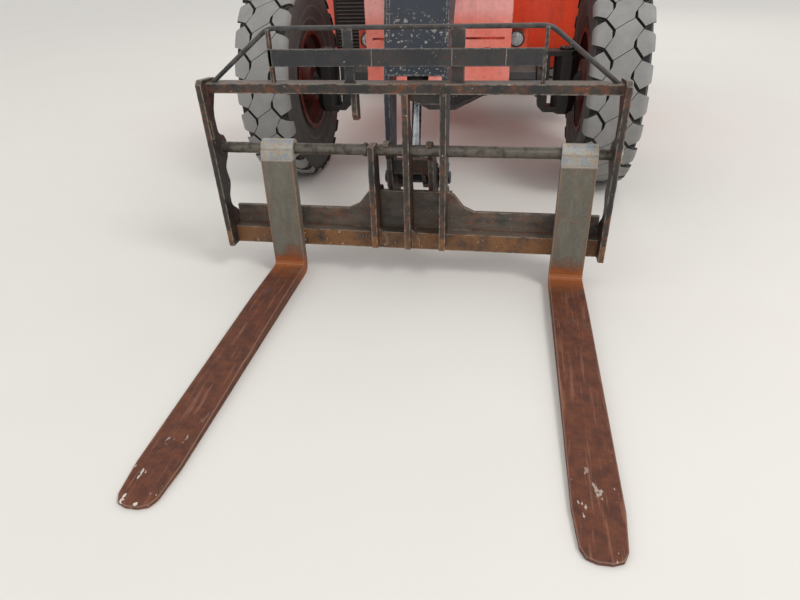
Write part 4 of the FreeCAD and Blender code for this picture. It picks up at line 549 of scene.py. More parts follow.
class TELEHANDLER_OT_materials(bpy.types.Operator):
    """Makes every material and lays it on the frame's own nodes"""
    bl_idname = "telehandler.materials"
    bl_label = "Materials"

    def execute(self, context):
        colours = context.scene.telehandler_colours
        cab = hex_of(colours.cab)
        front = hex_of(colours.front)
        # Cab, hood and boom: a clean orange with a sheen, and darker runs below its edges
        enamel("orange_enamel_sprayed", cab, "#ea5a38", "#4a2417", fade=0.4, dusty=0.35, rough=0.32)
        # Front plate: dull, and pink where the sun has bleached its upper part
        enamel("front_enamel_faded", front, "#f0a9a0", "#6b3a26", fade=0.6, dusty=0.3, run=0.2, rough=0.5,
               bleached=(1030, 1110, "#f3b3b0"))
        # Nose of the boom: blue-grey, dotted with pale chips where stones and loads strike it
        enamel("slate_enamel_sprayed", "#262c36", "#363e4a", "#a5a39b", fade=0.45, chips=0.7, dusty=0.3,
               rough=0.5,
               struck=(930, 1130))
        # Axles and brackets: dull black, brown at its chipped corners and grey with dust on top
        enamel("black_enamel_sprayed", "#1d1d1e", "#302e2c", "#5b3826", fade=0.5, dusty=0.5, rough=0.5)
        # Rims: a red darkened with painted shade, with road dust over it
        enamel("wheel_enamel_shaded_red", "#541a13", "#6e2a20", "#2c1812", fade=0.5, dusty=0.45, rough=0.55)
        # Carriage plate: dark, with rust in patches, bright corners and an ochre bottom bar
        scuffed_steel("carriage_plate_worn", "#211f1d", "#473d35", "#7b4424", "#a3998a", rusty=0.7,
                      scratched=0.7)
        # Backrest bar: most of its black paint is left, with thin grey scuffs
        scuffed_steel("backrest_bar_scuffed", "#222326", "#363637", "#5d4332", "#8f8a82", rusty=0.35,
                      scratched=0.5)
        # Forks: a rust brown blade with long rub marks, orange heel, grey shank and bright eye
        fork_steel("fork_steel_forged")
        # Tread: ground pale and dull by the road
        rubber("tread_rubber_ground", "#7a7978", "#979591", 0.6, 0.86)
        # Grooves: the mould's dark skin, deepened to near black as painted shade in the grooves
        rubber("groove_rubber_moulded_shaded", "#201f1e", "#3a3835", 0.3, 0.9)
        # Sidewalls: dark grey under a film of dust
        rubber("sidewall_rubber_moulded", "#383837", "#5a5854", 0.6, 0.82)
        # Cylinder rods: a clean mirror
        bare_metal("chrome_hard_ground", "#b4b6b9", "#77767a", 0.14, 3, stained=0.25)
        # Fork shaft: a dull sheen with dark grease stains
        bare_metal("shaft_steel_turned", "#6d675f", "#2c2621", 0.38, 5, stained=0.75, metallic=0.8)
        # Bolts, pipes and clips: pale grey glints with a yellowish stain
        bare_metal("zinc_steel_plated", "#a9a79f", "#6b5f50", 0.35, 6)
        # Engine: near black, with soft glints where oil has spread
        bare_metal("cast_iron_oily", "#3b3a39", "#211d19", 0.55, 2.5, stained=0.6, metallic=0.6)
        # Exhaust: brown scale that hardly shines
        bare_metal("exhaust_steel_scaled", "#6a5140", "#3a241a", 0.55, 8, stained=0.8, metallic=0.7)
        # Mirror glass: a sharp reflection
        bare_metal("mirror_glass_silvered", "#d6dadb", "#a2a5a4", 0.03, 40, stained=0.1)
        # Lamp bowls: a bright, softened reflection behind the lens
        bare_metal("reflector_aluminised", "#dfe1e2", "#b7b8b8", 0.12, 12, stained=0.15)
        # Weld beads: brown ripples with a faint metal glint
        bare_metal("weld_bead_worn", "#4a3c30", "#6e3d22", 0.5, 5, stained=0.6, metallic=0.35)
        # Dash and housings: black, with a fine grain that spreads the highlight
        moulded("plastic_black_moulded", "#1b1b1c", 0.55, 1.2, 0.05)
        # Seat and grips: black, with a coarser pressed grain
        moulded("vinyl_black_grained", "#191919", 0.5, 2.2, 0.12)
        # Seals and bellows: a matt black line round each pane
        moulded("rubber_seal_extruded", "#161616", 0.7, 1.6, 0.03)
        # Panes: see-through with a grey-green cast and a thin film of dust
        clear("window_glass_tinted", "#b5c4c4", 0.03, 0.92)
        # Lenses: clear over the bowl, and a deep red and an amber that let little light through
        clear("lamp_lens_clear", "#e8ebec", 0.08, 0.75)
        clear("lamp_lens_red", "#b3130d", 0.15, 0.35)
        clear("lamp_lens_amber", "#e07a10", 0.15, 0.35)
        # Nodes that keep their own shape: start of the name, material, and how far edges are rounded in millimetres
        for start, material, edge in (
                ("chassis_frame", "orange_enamel_sprayed", 3), ("front_plate", "front_enamel_faded", 2.5),
                ("lamp_brackets", "orange_enamel_sprayed", 1.5), ("counterweight", "black_enamel_sprayed", 6),
                ("fuel_tank", "black_enamel_sprayed", 4), ("cab_step", "black_enamel_sprayed", 1.5),
                ("cab_shell", "orange_enamel_sprayed", 5), ("cab_door", "orange_enamel_sprayed", 4),
                ("cab_glass", "window_glass_tinted", 0), ("door_glass", "window_glass_tinted", 0),
                ("engine_pod", "orange_enamel_sprayed", 3), ("engine_hood", "orange_enamel_sprayed", 4),
                ("engine_block", "cast_iron_oily", 6), ("exhaust", "exhaust_steel_scaled", 1),
                ("outer_boom", "orange_enamel_sprayed", 3), ("mid_boom", "orange_enamel_sprayed", 3),
                ("inner_boom", "slate_enamel_sprayed", 3), ("front_axle", "black_enamel_sprayed", 3),
                ("rear_axle", "black_enamel_sprayed", 3), ("knuckle", "black_enamel_sprayed", 3),
                ("coupler", "carriage_plate_worn", 2.5), ("carriage", "carriage_plate_worn", 2.5),
                ("backrest", "backrest_bar_scuffed", 2), ("fork_left", "fork_steel_forged", 3),
                ("fork_right", "fork_steel_forged", 3), ("fork_shaft", "shaft_steel_turned", 2),
                ("lift_barrel", "black_enamel_sprayed", 2), ("level_barrel", "black_enamel_sprayed", 2),
                ("tilt_barrel", "black_enamel_sprayed", 2), ("lift_rod", "chrome_hard_ground", 0),
                ("level_rod", "chrome_hard_ground", 0), ("tilt_rod", "chrome_hard_ground", 0),
                ("cab_controls", "plastic_black_moulded", 3), ("cab_seat", "vinyl_black_grained", 4),
                ("mirrors", "plastic_black_moulded", 2), ("lamps", "plastic_black_moulded", 2),
                ("rim", "wheel_enamel_shaded_red", 2), ("tyre", "groove_rubber_moulded_shaded", 2)):
            found = [n for n in frame["nodes"] if n == start or n.startswith(start + "_")]
            if not found:
                raise RuntimeError(f"the frame has no node {start}")
            for node in found:
                piece = frame["nodes"][node]
                piece.data.materials.clear()
                piece.data.materials.append(bpy.data.materials[material])
                if edge:
                    flat = piece.modifiers.new("Flat faces", "DECIMATE")
                    flat.decimate_type = "DISSOLVE"
                    flat.angle_limit = math.radians(1)
                    soften(piece, edge)
        return {"FINISHED"}


# Tread of one pitch: each block's outline in (across, along) millimetres, and which of its sides are open grooves.
# A side runs from its corner to the next one; the pattern repeats every pitch and is the same after half a turn.
TREAD_BLOCKS = (
    (((58, 47), (58, 7), (104, -60), (58, -122), (-58, -47), (-58, -7), (-104, 60), (-58, 122)),
     (True, False, True, False, True, False, True, False)),
    (((-104, 60), (-156, 88), (-196, 105), (-196, 200), (-156, 208), (-104, 229), (-58, 162), (-58, 122)),
     (True, True, True, True, True, False, True, True)),
    (((104, -60), (156, -88), (196, -105), (196, -200), (156, -208), (104, -229), (58, -162), (58, -122)),
     (True, True, True, True, True, False, True, True)),
)
TREAD_PITCH = 169
TREAD_FLAT = 134
TREAD_CROWN = 3
BLOCK_ROOT = 2  # how far a block goes into the rubber under it
BLOCK_EDGE = 2.2  # how far a block's upper edges are rounded
SHOULDER_RADIUS = 36
# Places where the flat tread is cut, so that it bends with the tyre: along it, and across it up to its shoulders
TREAD_ROWS = range(-240, 250, 20)
TREAD_COLUMNS = (-182, -168, -156, -145, -134, -60, 0, 60, 134, 145, 156, 168, 182)
TYRE_SEGMENTS = 120


def wheels():
    """Name, side (1 for left, -1 for right) and middle of each wheel."""
    for end, y in AXLES.items():
        for name, side in ((f"{end}_left", 1), (f"{end}_right", -1)):
            yield name, side, Vector((side * WHEEL_X, y, AXLE_Z))


def on_tyre(across, along, height):
    """Place on a tyre of a point of its tread laid flat, as (x, radius, turn)."""
    beyond = max(0, abs(across) - TREAD_FLAT) / SHOULDER_RADIUS
    crown = TREAD_CROWN * (min(abs(across), TREAD_FLAT) / TREAD_FLAT) ** 2
    x = min(abs(across), TREAD_FLAT) + (SHOULDER_RADIUS + height) * math.sin(beyond)
    radius = TYRE_RADIUS - crown - SHOULDER_RADIUS + (SHOULDER_RADIUS + height) * math.cos(beyond)
    return math.copysign(x, across), radius, along / TYRE_RADIUS


def shade_block_tops(tyre, centre):
    """Give the block tops the normals of one smooth crown, so that their facets don't show."""
    mesh = tyre.data
    crowned = []
    for vertex in mesh.vertices:
        spot = vertex.co / MM - centre
        radial = Vector((0, spot.y, spot.z))
        across = abs(spot.x)
        slope = 2 * TREAD_CROWN * min(across, TREAD_FLAT) / TREAD_FLAT ** 2
        from_shoulder = radial.length - (TYRE_RADIUS - TREAD_CROWN - SHOULDER_RADIUS)
        tilt = max(math.atan(slope), math.atan2(across - TREAD_FLAT, from_shoulder))
        side = Vector((math.copysign(math.sin(tilt), spot.x), 0, 0))
        crowned.append(side + radial.normalized() * math.cos(tilt))
    normals = [Vector((0, 0, 0))] * len(mesh.loops)
    for face in mesh.polygons:
        if face.material_index == 0 and all(face.normal.dot(crowned[v]) > 0.994 for v in face.vertices):
            for loop, v in zip(face.loop_indices, face.vertices):
                normals[loop] = crowned[v]
    mesh.normals_split_custom_set(normals)


def inset_outline(corners, open_sides, groove, sipe):
    """Pull each side of a block back by half its groove."""
    lines = []
    count = len(corners)
    middle = sum((Vector(c) for c in corners), Vector((0, 0))) / count
    for i, is_open in enumerate(open_sides):
        a, b = Vector(corners[i]), Vector(corners[(i + 1) % count])
        normal = Vector((-(b - a).y, (b - a).x)).normalized()
        if normal.dot(middle - a) < 0:
            normal = -normal
        shift = normal * (groove if is_open else sipe) / 2
        lines.append((a + shift, (b - a).normalized()))
    result = []
    for i in range(count):
        (p, d), (q, e) = lines[i - 1], lines[i]
        cross = d.x * e.y - d.y * e.x
        t = ((q - p).x * e.y - (q - p).y * e.x) / cross
        result.append(p + d * t)
    return result


class TELEHANDLER_OT_tyres(bpy.types.Operator):
    """Makes the four tyres with their honeycomb tread in place of the plain ones"""
    bl_idname = "telehandler.tyres"
    bl_label = "Tyres"

    def execute(self, context):
        sizes = context.scene.telehandler_tyres
        depth = sizes.depth / MM
        pitch = 2 * math.pi * TYRE_RADIUS / sizes.pitches
        stretch = pitch / TREAD_PITCH
        flat = bmesh.new()
        for corners, open_sides in TREAD_BLOCKS:
            top = inset_outline(corners, open_sides, sizes.groove / MM, sizes.sipe / MM)
            root = depth + BLOCK_ROOT
            faces = prism(flat, [(c.x, c.y * stretch, -root) for c in top], (0, 0, root))
            bmesh.ops.bevel(flat, geom=list(faces[1].edges), offset=BLOCK_EDGE, segments=2, affect="EDGES",
                            profile=0.6)
        bmesh.ops.recalc_face_normals(flat, faces=flat.faces[:])
        for face in flat.faces:
            face.material_index = 0 if face.normal.z > 0.3 else 1
        for step, places in ((Vector((0, 1, 0)), TREAD_ROWS), (Vector((1, 0, 0)), TREAD_COLUMNS)):
            for place in places:
                bmesh.ops.bisect_plane(flat, geom=flat.verts[:] + flat.edges[:] + flat.faces[:],
                                       plane_co=step * place, plane_no=step)
        bmesh.ops.triangulate(flat, faces=flat.faces[:])
        points = [v.co.copy() for v in flat.verts]
        flat.verts.index_update()
        faces = [([v.index for v in f.verts], f.material_index) for f in flat.faces]
        flat.free()
        # The tyre under its blocks, from its middle to its bead: (across, radius)
        base = TYRE_RADIUS - depth
        half = [(0, base), (70, base - 1), (TREAD_FLAT, base - 3), (146, base - 7), (152, 606), (160, 592),
                (166, 566), (168, 535), (167, 500), (163, 462), (156, 425), (146, 392), (138, 366), (134, 348),
                (131, 330), (128, 312)]
        section = [(-x, r) for x, r in half[::-1]] + half[1:]
        for name, _, centre in wheels():
            bm = bmesh.new()
            for k in range(sizes.pitches):
                placed = []
                for p in points:
                    x, radius, turn = on_tyre(p.x, p.y + k * pitch, p.z)
                    placed.append(bm.verts.new(centre + Vector((x, radius * math.sin(turn),
                                                                -radius * math.cos(turn)))))
                for ring, material in faces:
                    bm.faces.new([placed[i] for i in ring]).material_index = material
            for rows, material in ((section[:13], 2), (section[12:19], 1), (section[18:], 2)):
                lathe(bm, centre, (1, 0, 0), rows, TYRE_SEGMENTS, material)
            # Raised rings on both sidewalls
            for x in (-1, 1):
                for ring, r in ((147, 396), (162, 470)):
                    lathe(bm, centre + Vector((x * ring, 0, 0)), (x, 0, 0),
                          [(-3, r + 7), (2.4, r + 3), (2.4, r - 3), (-3, r - 7)], TYRE_SEGMENTS, 2)
            tyre = finish_piece(f"tread_tyre_{name}", bm, f"tyre_{name}",
                                ["tread_rubber_ground", "groove_rubber_moulded_shaded", "sidewall_rubber_moulded"],
                                (f"tyre_{name}",), crease=28)
            shade_block_tops(tyre, centre)
        return {"FINISHED"}


class TELEHANDLER_OT_rims(bpy.types.Operator):
    """Makes the four rims with their hubs, nuts and valves in place of the plain ones"""
    bl_idname = "telehandler.rims"
    bl_label = "Rims"

    def execute(self, context):
        # Rim and hub from inside to outside of the wheel: (across, radius)
        nuts, hub_bolts = 10, 12
        profile = [(-147, 294), (-147, 322), (-143, 327), (-138, 324), (-136.5, 309), (-100, 306), (-60, 262),
                   (0, 258), (60, 262), (100, 306), (136.5, 309), (138, 324), (143, 327), (147, 322),
                   (147, 298),
                   (139, 292), (106, 288), (58, 250), (40, 246), (36, 238), (36, 160)]
        hub = [(-155, 60), (-155, 130), (-120, 134), (20, 134), (20, 152), (36, 152), (52, 150), (56, 142),
               (98, 112),
               (108, 104), (112, 94), (112, 40), (116, 36), (116, 0)]
        for name, side, centre in wheels():
            bm = bmesh.new()
            out = Vector((side, 0, 0))
            lathe(bm, centre, out, profile, 96)
            lathe(bm, centre, out, [(20, 246), (20, 134)], 96)
            lathe(bm, centre, out, hub, 64)
            for i in range(nuts):
                turn = 2 * math.pi * (i + 0.5) / nuts
                spot = centre + out * 36 + Vector((0, math.sin(turn), math.cos(turn))) * 196
                lathe(bm, spot, out, [(0, 25), (5, 23), (7, 20)], 20, 1)
                hexagon(bm, spot + out * 5, out, 30, 22, 1)
                lathe(bm, spot, out, [(24, 11), (38, 11), (40, 9), (40, 0)], 14, 1)
            for i in range(hub_bolts):
                turn = 2 * math.pi * i / hub_bolts
                spot = centre + out * 100 + Vector((0, math.sin(turn), math.cos(turn))) * 98
                hexagon(bm, spot + out * 2, out, 16, 11, 1)
            hexagon(bm, centre + out * 115, out, 34, 12, 1)
            valve = centre + out * 52 + Vector((0, 0, 248))
            tube(bm, [valve, valve + out * 24 - Vector((0, 0, 4)), valve + out * 52 - Vector((0, 0, 14))], 5,
                 10,
                 material=2)
            finish_piece(f"painted_rim_{name}", bm, f"rim_{name}",
                         ["wheel_enamel_shaded_red", "zinc_steel_plated", "plastic_black_moulded"],
                         (f"rim_{name}",), crease=30)
        return {"FINISHED"}


def underside(y):
    """Height of the outer boom's underside at a place along the machine."""
    return BOOM_PIVOT[1] - (BOOM_PIVOT[0] - y) * math.tan(BOOM_SLOPE) - OUTER_BOOM_HALF / math.cos(BOOM_SLOPE)


# Cylinders: lower and upper pin as (y, z), barrel, rod, eye and pin radii, eye width, barrel's share, room behind rod
CYLINDERS = {
    "lift": ((2300, 700), (600, underside(600) - 80), 80, 50, 65, 35, 90, 0.93, 20),
    "level": ((2649, 1267), (1540, underside(1540) - 58), 50, 30, 45, 25, 58, 0.9, 20),
    "tilt": ((-1540, 1480), (-1848.66, 495.08), 45, 23, 38, 25, 50, 0.62, 60),
}


class TELEHANDLER_OT_cylinders(bpy.types.Operator):
    """Makes the smooth barrels and rods of the hydraulic cylinders in place of the faceted ones"""
    bl_idname = "telehandler.cylinders"
    bl_label = "Cylinders"

    def execute(self, context):
        for name, (low, high, barrel, rod, eye, pin, width, share, room) in CYLINDERS.items():
            start, end = Vector((0, *low)), Vector((0, *high))
            along, side = (end - start).normalized(), Vector((1, 0, 0))
            length = (end - start).length
            mouth = length * share
            ring = [(-width / 2, pin + 1), (-width / 2, eye - 4), (4 - width / 2, eye), (width / 2 - 4, eye),
                    (width / 2, eye - 4), (width / 2, pin + 1), (-width / 2, pin + 1)]
            bm = bmesh.new()
            lathe(bm, start, side, ring, 48)
            lathe(bm, start, along, [(eye - 14, 0), (eye - 14, barrel - 8), (eye - 4, barrel),
                                     (mouth - 62, barrel),
                                     (mouth - 60, barrel + 7), (mouth - 4, barrel + 7), (mouth, barrel + 3),
                                     (mouth, rod + 9), (mouth - 4, rod + 4), (mouth - 4, rod + 1),
                                     (mouth - 40, rod + 1)], 64)
            lathe(bm, start, along, [(eye - 8, barrel - 1), (eye - 3, barrel + 3), (eye + 3, barrel)], 64)
            for spot in (eye + 55, mouth - 84):
                foot = start + along * spot + side * (barrel - 3)
                lathe(bm, foot, side, [(0, 18), (12, 17), (14, 15), (14, 0)], 24)
                hexagon(bm, foot + side * 13, side, 24, 12, 1)
            reach = side * (barrel + 24)
            low_port, high_port = start + along * (eye + 55), start + along * (mouth - 84)
            pipe = [low_port + side * barrel, low_port + reach, high_port + reach, high_port + side * barrel]
            tube(bm, rounded(pipe, 16, closed=False), 6, 12, material=1)
            for share_along in (0.33, 0.66):
                clip = start.lerp(end, share * share_along) + side * (barrel - 1)
                lathe(bm, clip, side, [(0, 12), (30, 12), (33, 9), (33, 0)], 6, 0)
            for sign in (-1, 1):
                lathe(bm, start + side * sign * (width / 2 - 12) - along * (eye - 1), -along,
                      [(0, 6), (3, 6), (4, 3.4), (9, 3.4), (12, 2), (12, 0)], 10, 1)
            finish_piece(f"smooth_{name}_barrel", bm, f"{name}_barrel",
                         ["black_enamel_sprayed", "zinc_steel_plated"],
                         (f"{name}_barrel",))
            bm = bmesh.new()
            back = eye + 55 + room
            lathe(bm, start, along, [(back, 0), (back, rod - 3), (back + 3, rod), (length - eye + 5, rod)], 64)
            root = length - eye
            lathe(bm, start, along, [(root - 9, rod), (root - 3, rod + 4), (root + 4, rod)], 48, 1)
            lathe(bm, end, side, [(a, max(r, 1)) for a, r in ring], 48, 1)
            finish_piece(f"smooth_{name}_rod", bm, f"{name}_rod",
                         ["chrome_hard_ground", "black_enamel_sprayed"],
                         (f"{name}_rod",))
        return {"FINISHED"}


class TELEHANDLER_OT_lamps(bpy.types.Operator):
    """Makes the headlamps and tail lamps with their lenses in place of the plain ones"""
    bl_idname = "telehandler.lamps"
    bl_label = "Lamps"

    def execute(self, context):
        bm = bmesh.new()
        back = Vector((0, 1, 0))
        for x in (-473, 473):
            front = Vector((x, -643, 920))
            lathe(bm, front, back, [(6, 40), (1, 41), (0, 43), (0, 46), (3, 49), (13, 49), (15, 46), (40, 44),
                                    (58, 30),
                                    (60, 26), (60, 0)], 56, 0)
            lathe(bm, front, back, [(6, 41), (12, 38), (24, 29), (33, 15), (36, 9), (36, 0)], 56, 1)
            lathe(bm, front, back, [(36, 7), (22, 7), (17, 5), (15, 0)], 20, 1)
            lathe(bm, front, back, [(5, 0), (5.5, 20), (7.5, 38), (9, 41.5), (5, 41.5), (3.5, 38), (1.5, 20),
                                    (1, 0)],
                  56, 2)
            for turn in (0.5, 2.6, 4.7):
                spot = front + Vector((math.cos(turn), 0, math.sin(turn))) * 45.5
                lathe(bm, spot + back * 1.5, -back, [(0, 3), (1.2, 2.6), (1.2, 0)], 10, 3)
        for side in (-1, 1):
            for x0, x1, z0, z1, y0, y1, material in ((320, 460, 1150, 1240, 3517, 3556, 0),
                                                     (326, 388, 1156, 1234, 3550, 3575, 5),
                                                     (392, 454, 1156, 1234, 3550, 3575, 4)):
                left, right = sorted((side * x0, side * x1))
                box(bm, (left, y0, z0), (right, y1, z1), material)
            for x in (332, 448):
                for z in (1162, 1228):
                    lathe(bm, Vector((side * x, 3574.5, z)), back, [(0, 3.2), (1.5, 2.8), (1.5, 0)], 10, 3)
        finish_piece("glazed_lamps", bm, "lamps",
                     ["plastic_black_moulded", "reflector_aluminised", "lamp_lens_clear",
                                                   "zinc_steel_plated", "lamp_lens_red", "lamp_lens_amber"],
                     ("lamps",), bevel=1.2)
        return {"FINISHED"}


class TELEHANDLER_OT_mirrors(bpy.types.Operator):
    """Makes the mirrors with round arms and silvered glass in place of the plain ones"""
    bl_idname = "telehandler.mirrors"
    bl_label = "Mirrors"

    def execute(self, context):
        bm = bmesh.new()
        back = Vector((0, 1, 0))
        for arm, x, z0 in (([(1140, 366, 1500), (1140, 250, 1500), (1140, 250, 1800)], 1140, 1620),
                           ([(-900, 341, 1170), (-1060, 250, 1560), (-1060, 250, 1860)], -1060, 1680)):
            tube(bm, rounded(arm, 60, 8, closed=False), 9.5, 16)
            corners = rounded([(x - 75, 240, z0), (x + 75, 240, z0), (x + 75, 240, z0 + 250),
                               (x - 75, 240, z0 + 250)],
                              26, 6)
            centre = Vector((x, 240, z0 + 125))
            prism(bm, corners, (0, 26, 0), 1)
            shrink = [centre + Vector(((c.x - x) * 0.93, 24, (c.z - centre.z) * 0.955)) for c in corners]
            prism(bm, shrink, (0, 4, 0), 1)
            glass = [centre + Vector(((c.x - x) * 0.87, 27.6, (c.z - centre.z) * 0.92)) for c in corners]
            prism(bm, glass, (0, 1.6, 0), 2)
            for z in (z0 + 60, z0 + 190):
                box(bm, (x - 16, 241, z - 10), (x + 16, 262, z + 10), 1)
                for dx in (-22, 22):
                    hexagon(bm, Vector((x + dx, 241, z)), -back, 10, 1.0, 3)
        foot = Vector((1140, 366, 1500))
        lean = Vector((0, 230, 1390)).normalized()
        prism(bm, [foot + Vector((dx, -3, 0)) + lean * dz for dx,
                   dz in ((-18, -40), (18, -40), (18, 40), (-18, 40))],
              (0, 6, -1), 0)
        for dz in (-28, 28):
            hexagon(bm, foot + lean * dz - back * 3, (0, -1, 0.165), 13, 7, 3)
        box(bm, (-928, 336, 1140), (-872, 340, 1200), 0)
        for dx in (-20, 20):
            hexagon(bm, Vector((-900 + dx, 336, 1152)), -back, 13, 7, 3)
        finish_piece("round_armed_mirrors", bm, "mirrors", ["black_enamel_sprayed", "plastic_black_moulded",
                                                            "mirror_glass_silvered", "zinc_steel_plated"],
                     ("mirrors",), bevel=1.5)
        return {"FINISHED"}


def stuff(piece, voxel, cap, floor_z):
    """Swell a closed form as foam under a cover does: cloth under pressure, held below floor_z, up to cap."""
    frames, pressure = 20, 4
    scene = bpy.context.scene
    even = piece.modifiers.new("Even mesh", "REMESH")
    even.mode = "VOXEL"
    even.voxel_size = voxel * MM
    graph = bpy.context.evaluated_depsgraph_get()
    piece.data = bpy.data.meshes.new_from_object(piece.evaluated_get(graph))
    piece.modifiers.clear()
    rest = [v.co.copy() for v in piece.data.vertices]
    held = piece.vertex_groups.new(name="Held")
    held.add([i for i, p in enumerate(rest) if p.z < floor_z * MM], 1.0, "REPLACE")
    cloth = piece.modifiers.new("Foam", "CLOTH")
    cloth.settings.use_pressure = True
    cloth.settings.uniform_pressure_force = pressure
    cloth.settings.effector_weights.gravity = 0
    cloth.settings.vertex_group_mass = "Held"
    cloth.point_cache.frame_end = frames
    for moment in range(1, frames + 1):
        scene.frame_set(moment)
    graph = bpy.context.evaluated_depsgraph_get()
    swollen = [v.co.copy() for v in piece.evaluated_get(graph).data.vertices]
    piece.modifiers.clear()
    scene.frame_set(1)
    for vertex, old, new in zip(piece.data.vertices, rest, swollen):
        moved = new - old
        vertex.co = old + moved * min(1, cap * MM / max(moved.length, 1e-9))


def press_seams(piece, lines, depth, width):
    """Press sewn channels into a cushion: rows of (axis, place along it in millimetres)."""
    for vertex, normal in zip(piece.data.vertices, [v.normal.copy() for v in piece.data.vertices]):
        for axis, place in lines:
            gap = (vertex.co[axis] - place * MM) / (width * MM)
            if abs(gap) < 3:
                vertex.co -= normal * depth * MM * math.exp(-gap * gap)
    piece.data.update()


def loft(bm, sections):
    """A closed form through outlines of the same length, one after the other."""
    rings = [[bm.verts.new(Vector(p)) for p in section] for section in sections]
    count = len(rings[0])
    for low, high in zip(rings, rings[1:]):
        for i in range(count):
            j = (i + 1) % count
            bm.faces.new((low[i], low[j], high[j], high[i]))
    bm.faces.new(rings[0][::-1])
    bm.faces.new(rings[-1])


class TELEHANDLER_OT_seat(bpy.types.Operator):
    """Makes the operator's seat with padded cushions on a bellows in place of the plain one"""
    bl_idname = "telehandler.seat"
    bl_label = "Seat"

    def execute(self, context):
        x0, x1, middle = 555, 1030, SEAT_MIDDLE
        # Cushions: name, lowest and highest x, side-on profile as (y, z), seams, how far they swell, what is held
        for name, low, high, profile, seams, cap, floor in (
                ("seat_cushion_padded", 565, 1020,
                 ((1140, 1030), (1140, 1100), (1165, 1126), (1300, 1118), (1560, 1098), (1590, 1090),
                  (1590, 1030)),
                 ((0, middle - 130), (0, middle + 130), (1, 1300), (1, 1440)), 9, 1044),
                ("seat_back_padded", 572, 1013,
                 ((1600, 1130), (1580, 1150), (1566, 1250), (1590, 1420), (1640, 1690), (1665, 1712),
                  (1708, 1712),
                  (1722, 1690), (1664, 1180), (1650, 1130)),
                 ((0, middle - 120), (0, middle + 120), (2, 1330), (2, 1520)), 9, 1120)):
            bm = bmesh.new()
            lies_flat = name == "seat_cushion_padded"
            rise = Vector((0, 0, 1)) if lies_flat else Vector((0, -1, 0.1))
            top = max(z for _, z in profile)
            sections = []
            for t in (0, 0.04, 0.12, 0.22, 0.5, 0.78, 0.88, 0.96, 1):
                # The sides bulge towards the sitter and fall off again at the very edge
                aside = abs(t - 0.5) * 2
                bulge = max(0.0, aside - 0.45) * 34 - 60 * max(0.0, aside - 0.93)
                ring = []
                for y, z in profile:
                    sat_on = z > 1085 if lies_flat else y < 1650 and z < top - 20
                    ring.append(Vector((low + (high - low) * t, y, z)) + rise * (bulge if sat_on else 0))
                sections.append(ring)
            loft(bm, sections)
            piece = finish_piece(name, bm, "cab_seat", ["vinyl_black_grained"])
            stuff(piece, 6, cap, floor)
            press_seams(piece, seams, 5, 5)
            for polygon in piece.data.polygons:
                polygon.use_smooth = True
            smooth = piece.modifiers.new("Cover", "SUBSURF")
            smooth.levels = smooth.render_levels = 1
        # Bellows, with every other fold drawn in, on its base and under the seat pan
        bm = bmesh.new()
        sections = []
        for i in range(7):
            fold, z = i % 2 * 16, 770 + i * 32
            left, right, front, back = x0 + 66 + fold, x1 - 66 - fold, 1236 + fold, 1554 - fold
            sections.append(rounded([(left, front, z), (right, front, z), (right, back, z), (left, back, z)],
                                    34, 4))
        loft(bm, sections)
        box(bm, (620, 1236, 725), (965, 1554, 752), 1)
        box(bm, (632, 1244, 752), (953, 1548, 770), 1)
        box(bm, (x0 + 20, 1160, 962), (x1 - 20, 1590, 986), 1)
        for x in (x0 + 60, x1 - 92):
            box(bm, (x, 1150, 986), (x + 32, 1600, 1012), 2)
        box(bm, (x0 + 6, 1150, 1012), (x1 - 6, 1600, 1034), 1)
        for x, side in ((x0 + 2, -1), (x1 - 2, 1)):
            lathe(bm, Vector((x - side * 26, 1600, 1070)), (side, 0, 0), [(0, 40), (20, 40), (26, 34), (26, 0)],
                  28, 1)
            prism(bm, [(x - side * 24, 1180, 990), (x - side * 24, 1610, 990), (x - side * 24, 1620, 1090),
                       (x - side * 24, 1560, 1100), (x - side * 24, 1500, 1052), (x - side * 24, 1180, 1040)],
                  (side * 14, 0, 0), 1)
        prism(bm, [(x0 + 22, 1655, 1120), (x1 - 22, 1655, 1120), (x1 - 22, 1727, 1690), (x0 + 22, 1727, 1690)],
              (0, 12, -1), 1)
        lever = rounded([(x0 + 8, 1180, 1000), (x0 + 8, 1134, 1000), (x0 + 60, 1134, 1000)], 14, closed=False)
        tube(bm, lever, 5, 10, material=2)
        box(bm, (x1 - 18, 1470, 1100), (x1 - 4, 1496, 1170), 3)
        tube(bm, [(x1 - 11, 1483, 1040), (x1 - 11, 1483, 1105)], 5, 8, material=2)
        finish_piece("seat_base_bellows", bm, "cab_seat", ["rubber_seal_extruded", "plastic_black_moulded",
                                                           "zinc_steel_plated", "lamp_lens_red"],
                     ("cab_seat",), bevel=2.5)
        return {"FINISHED"}


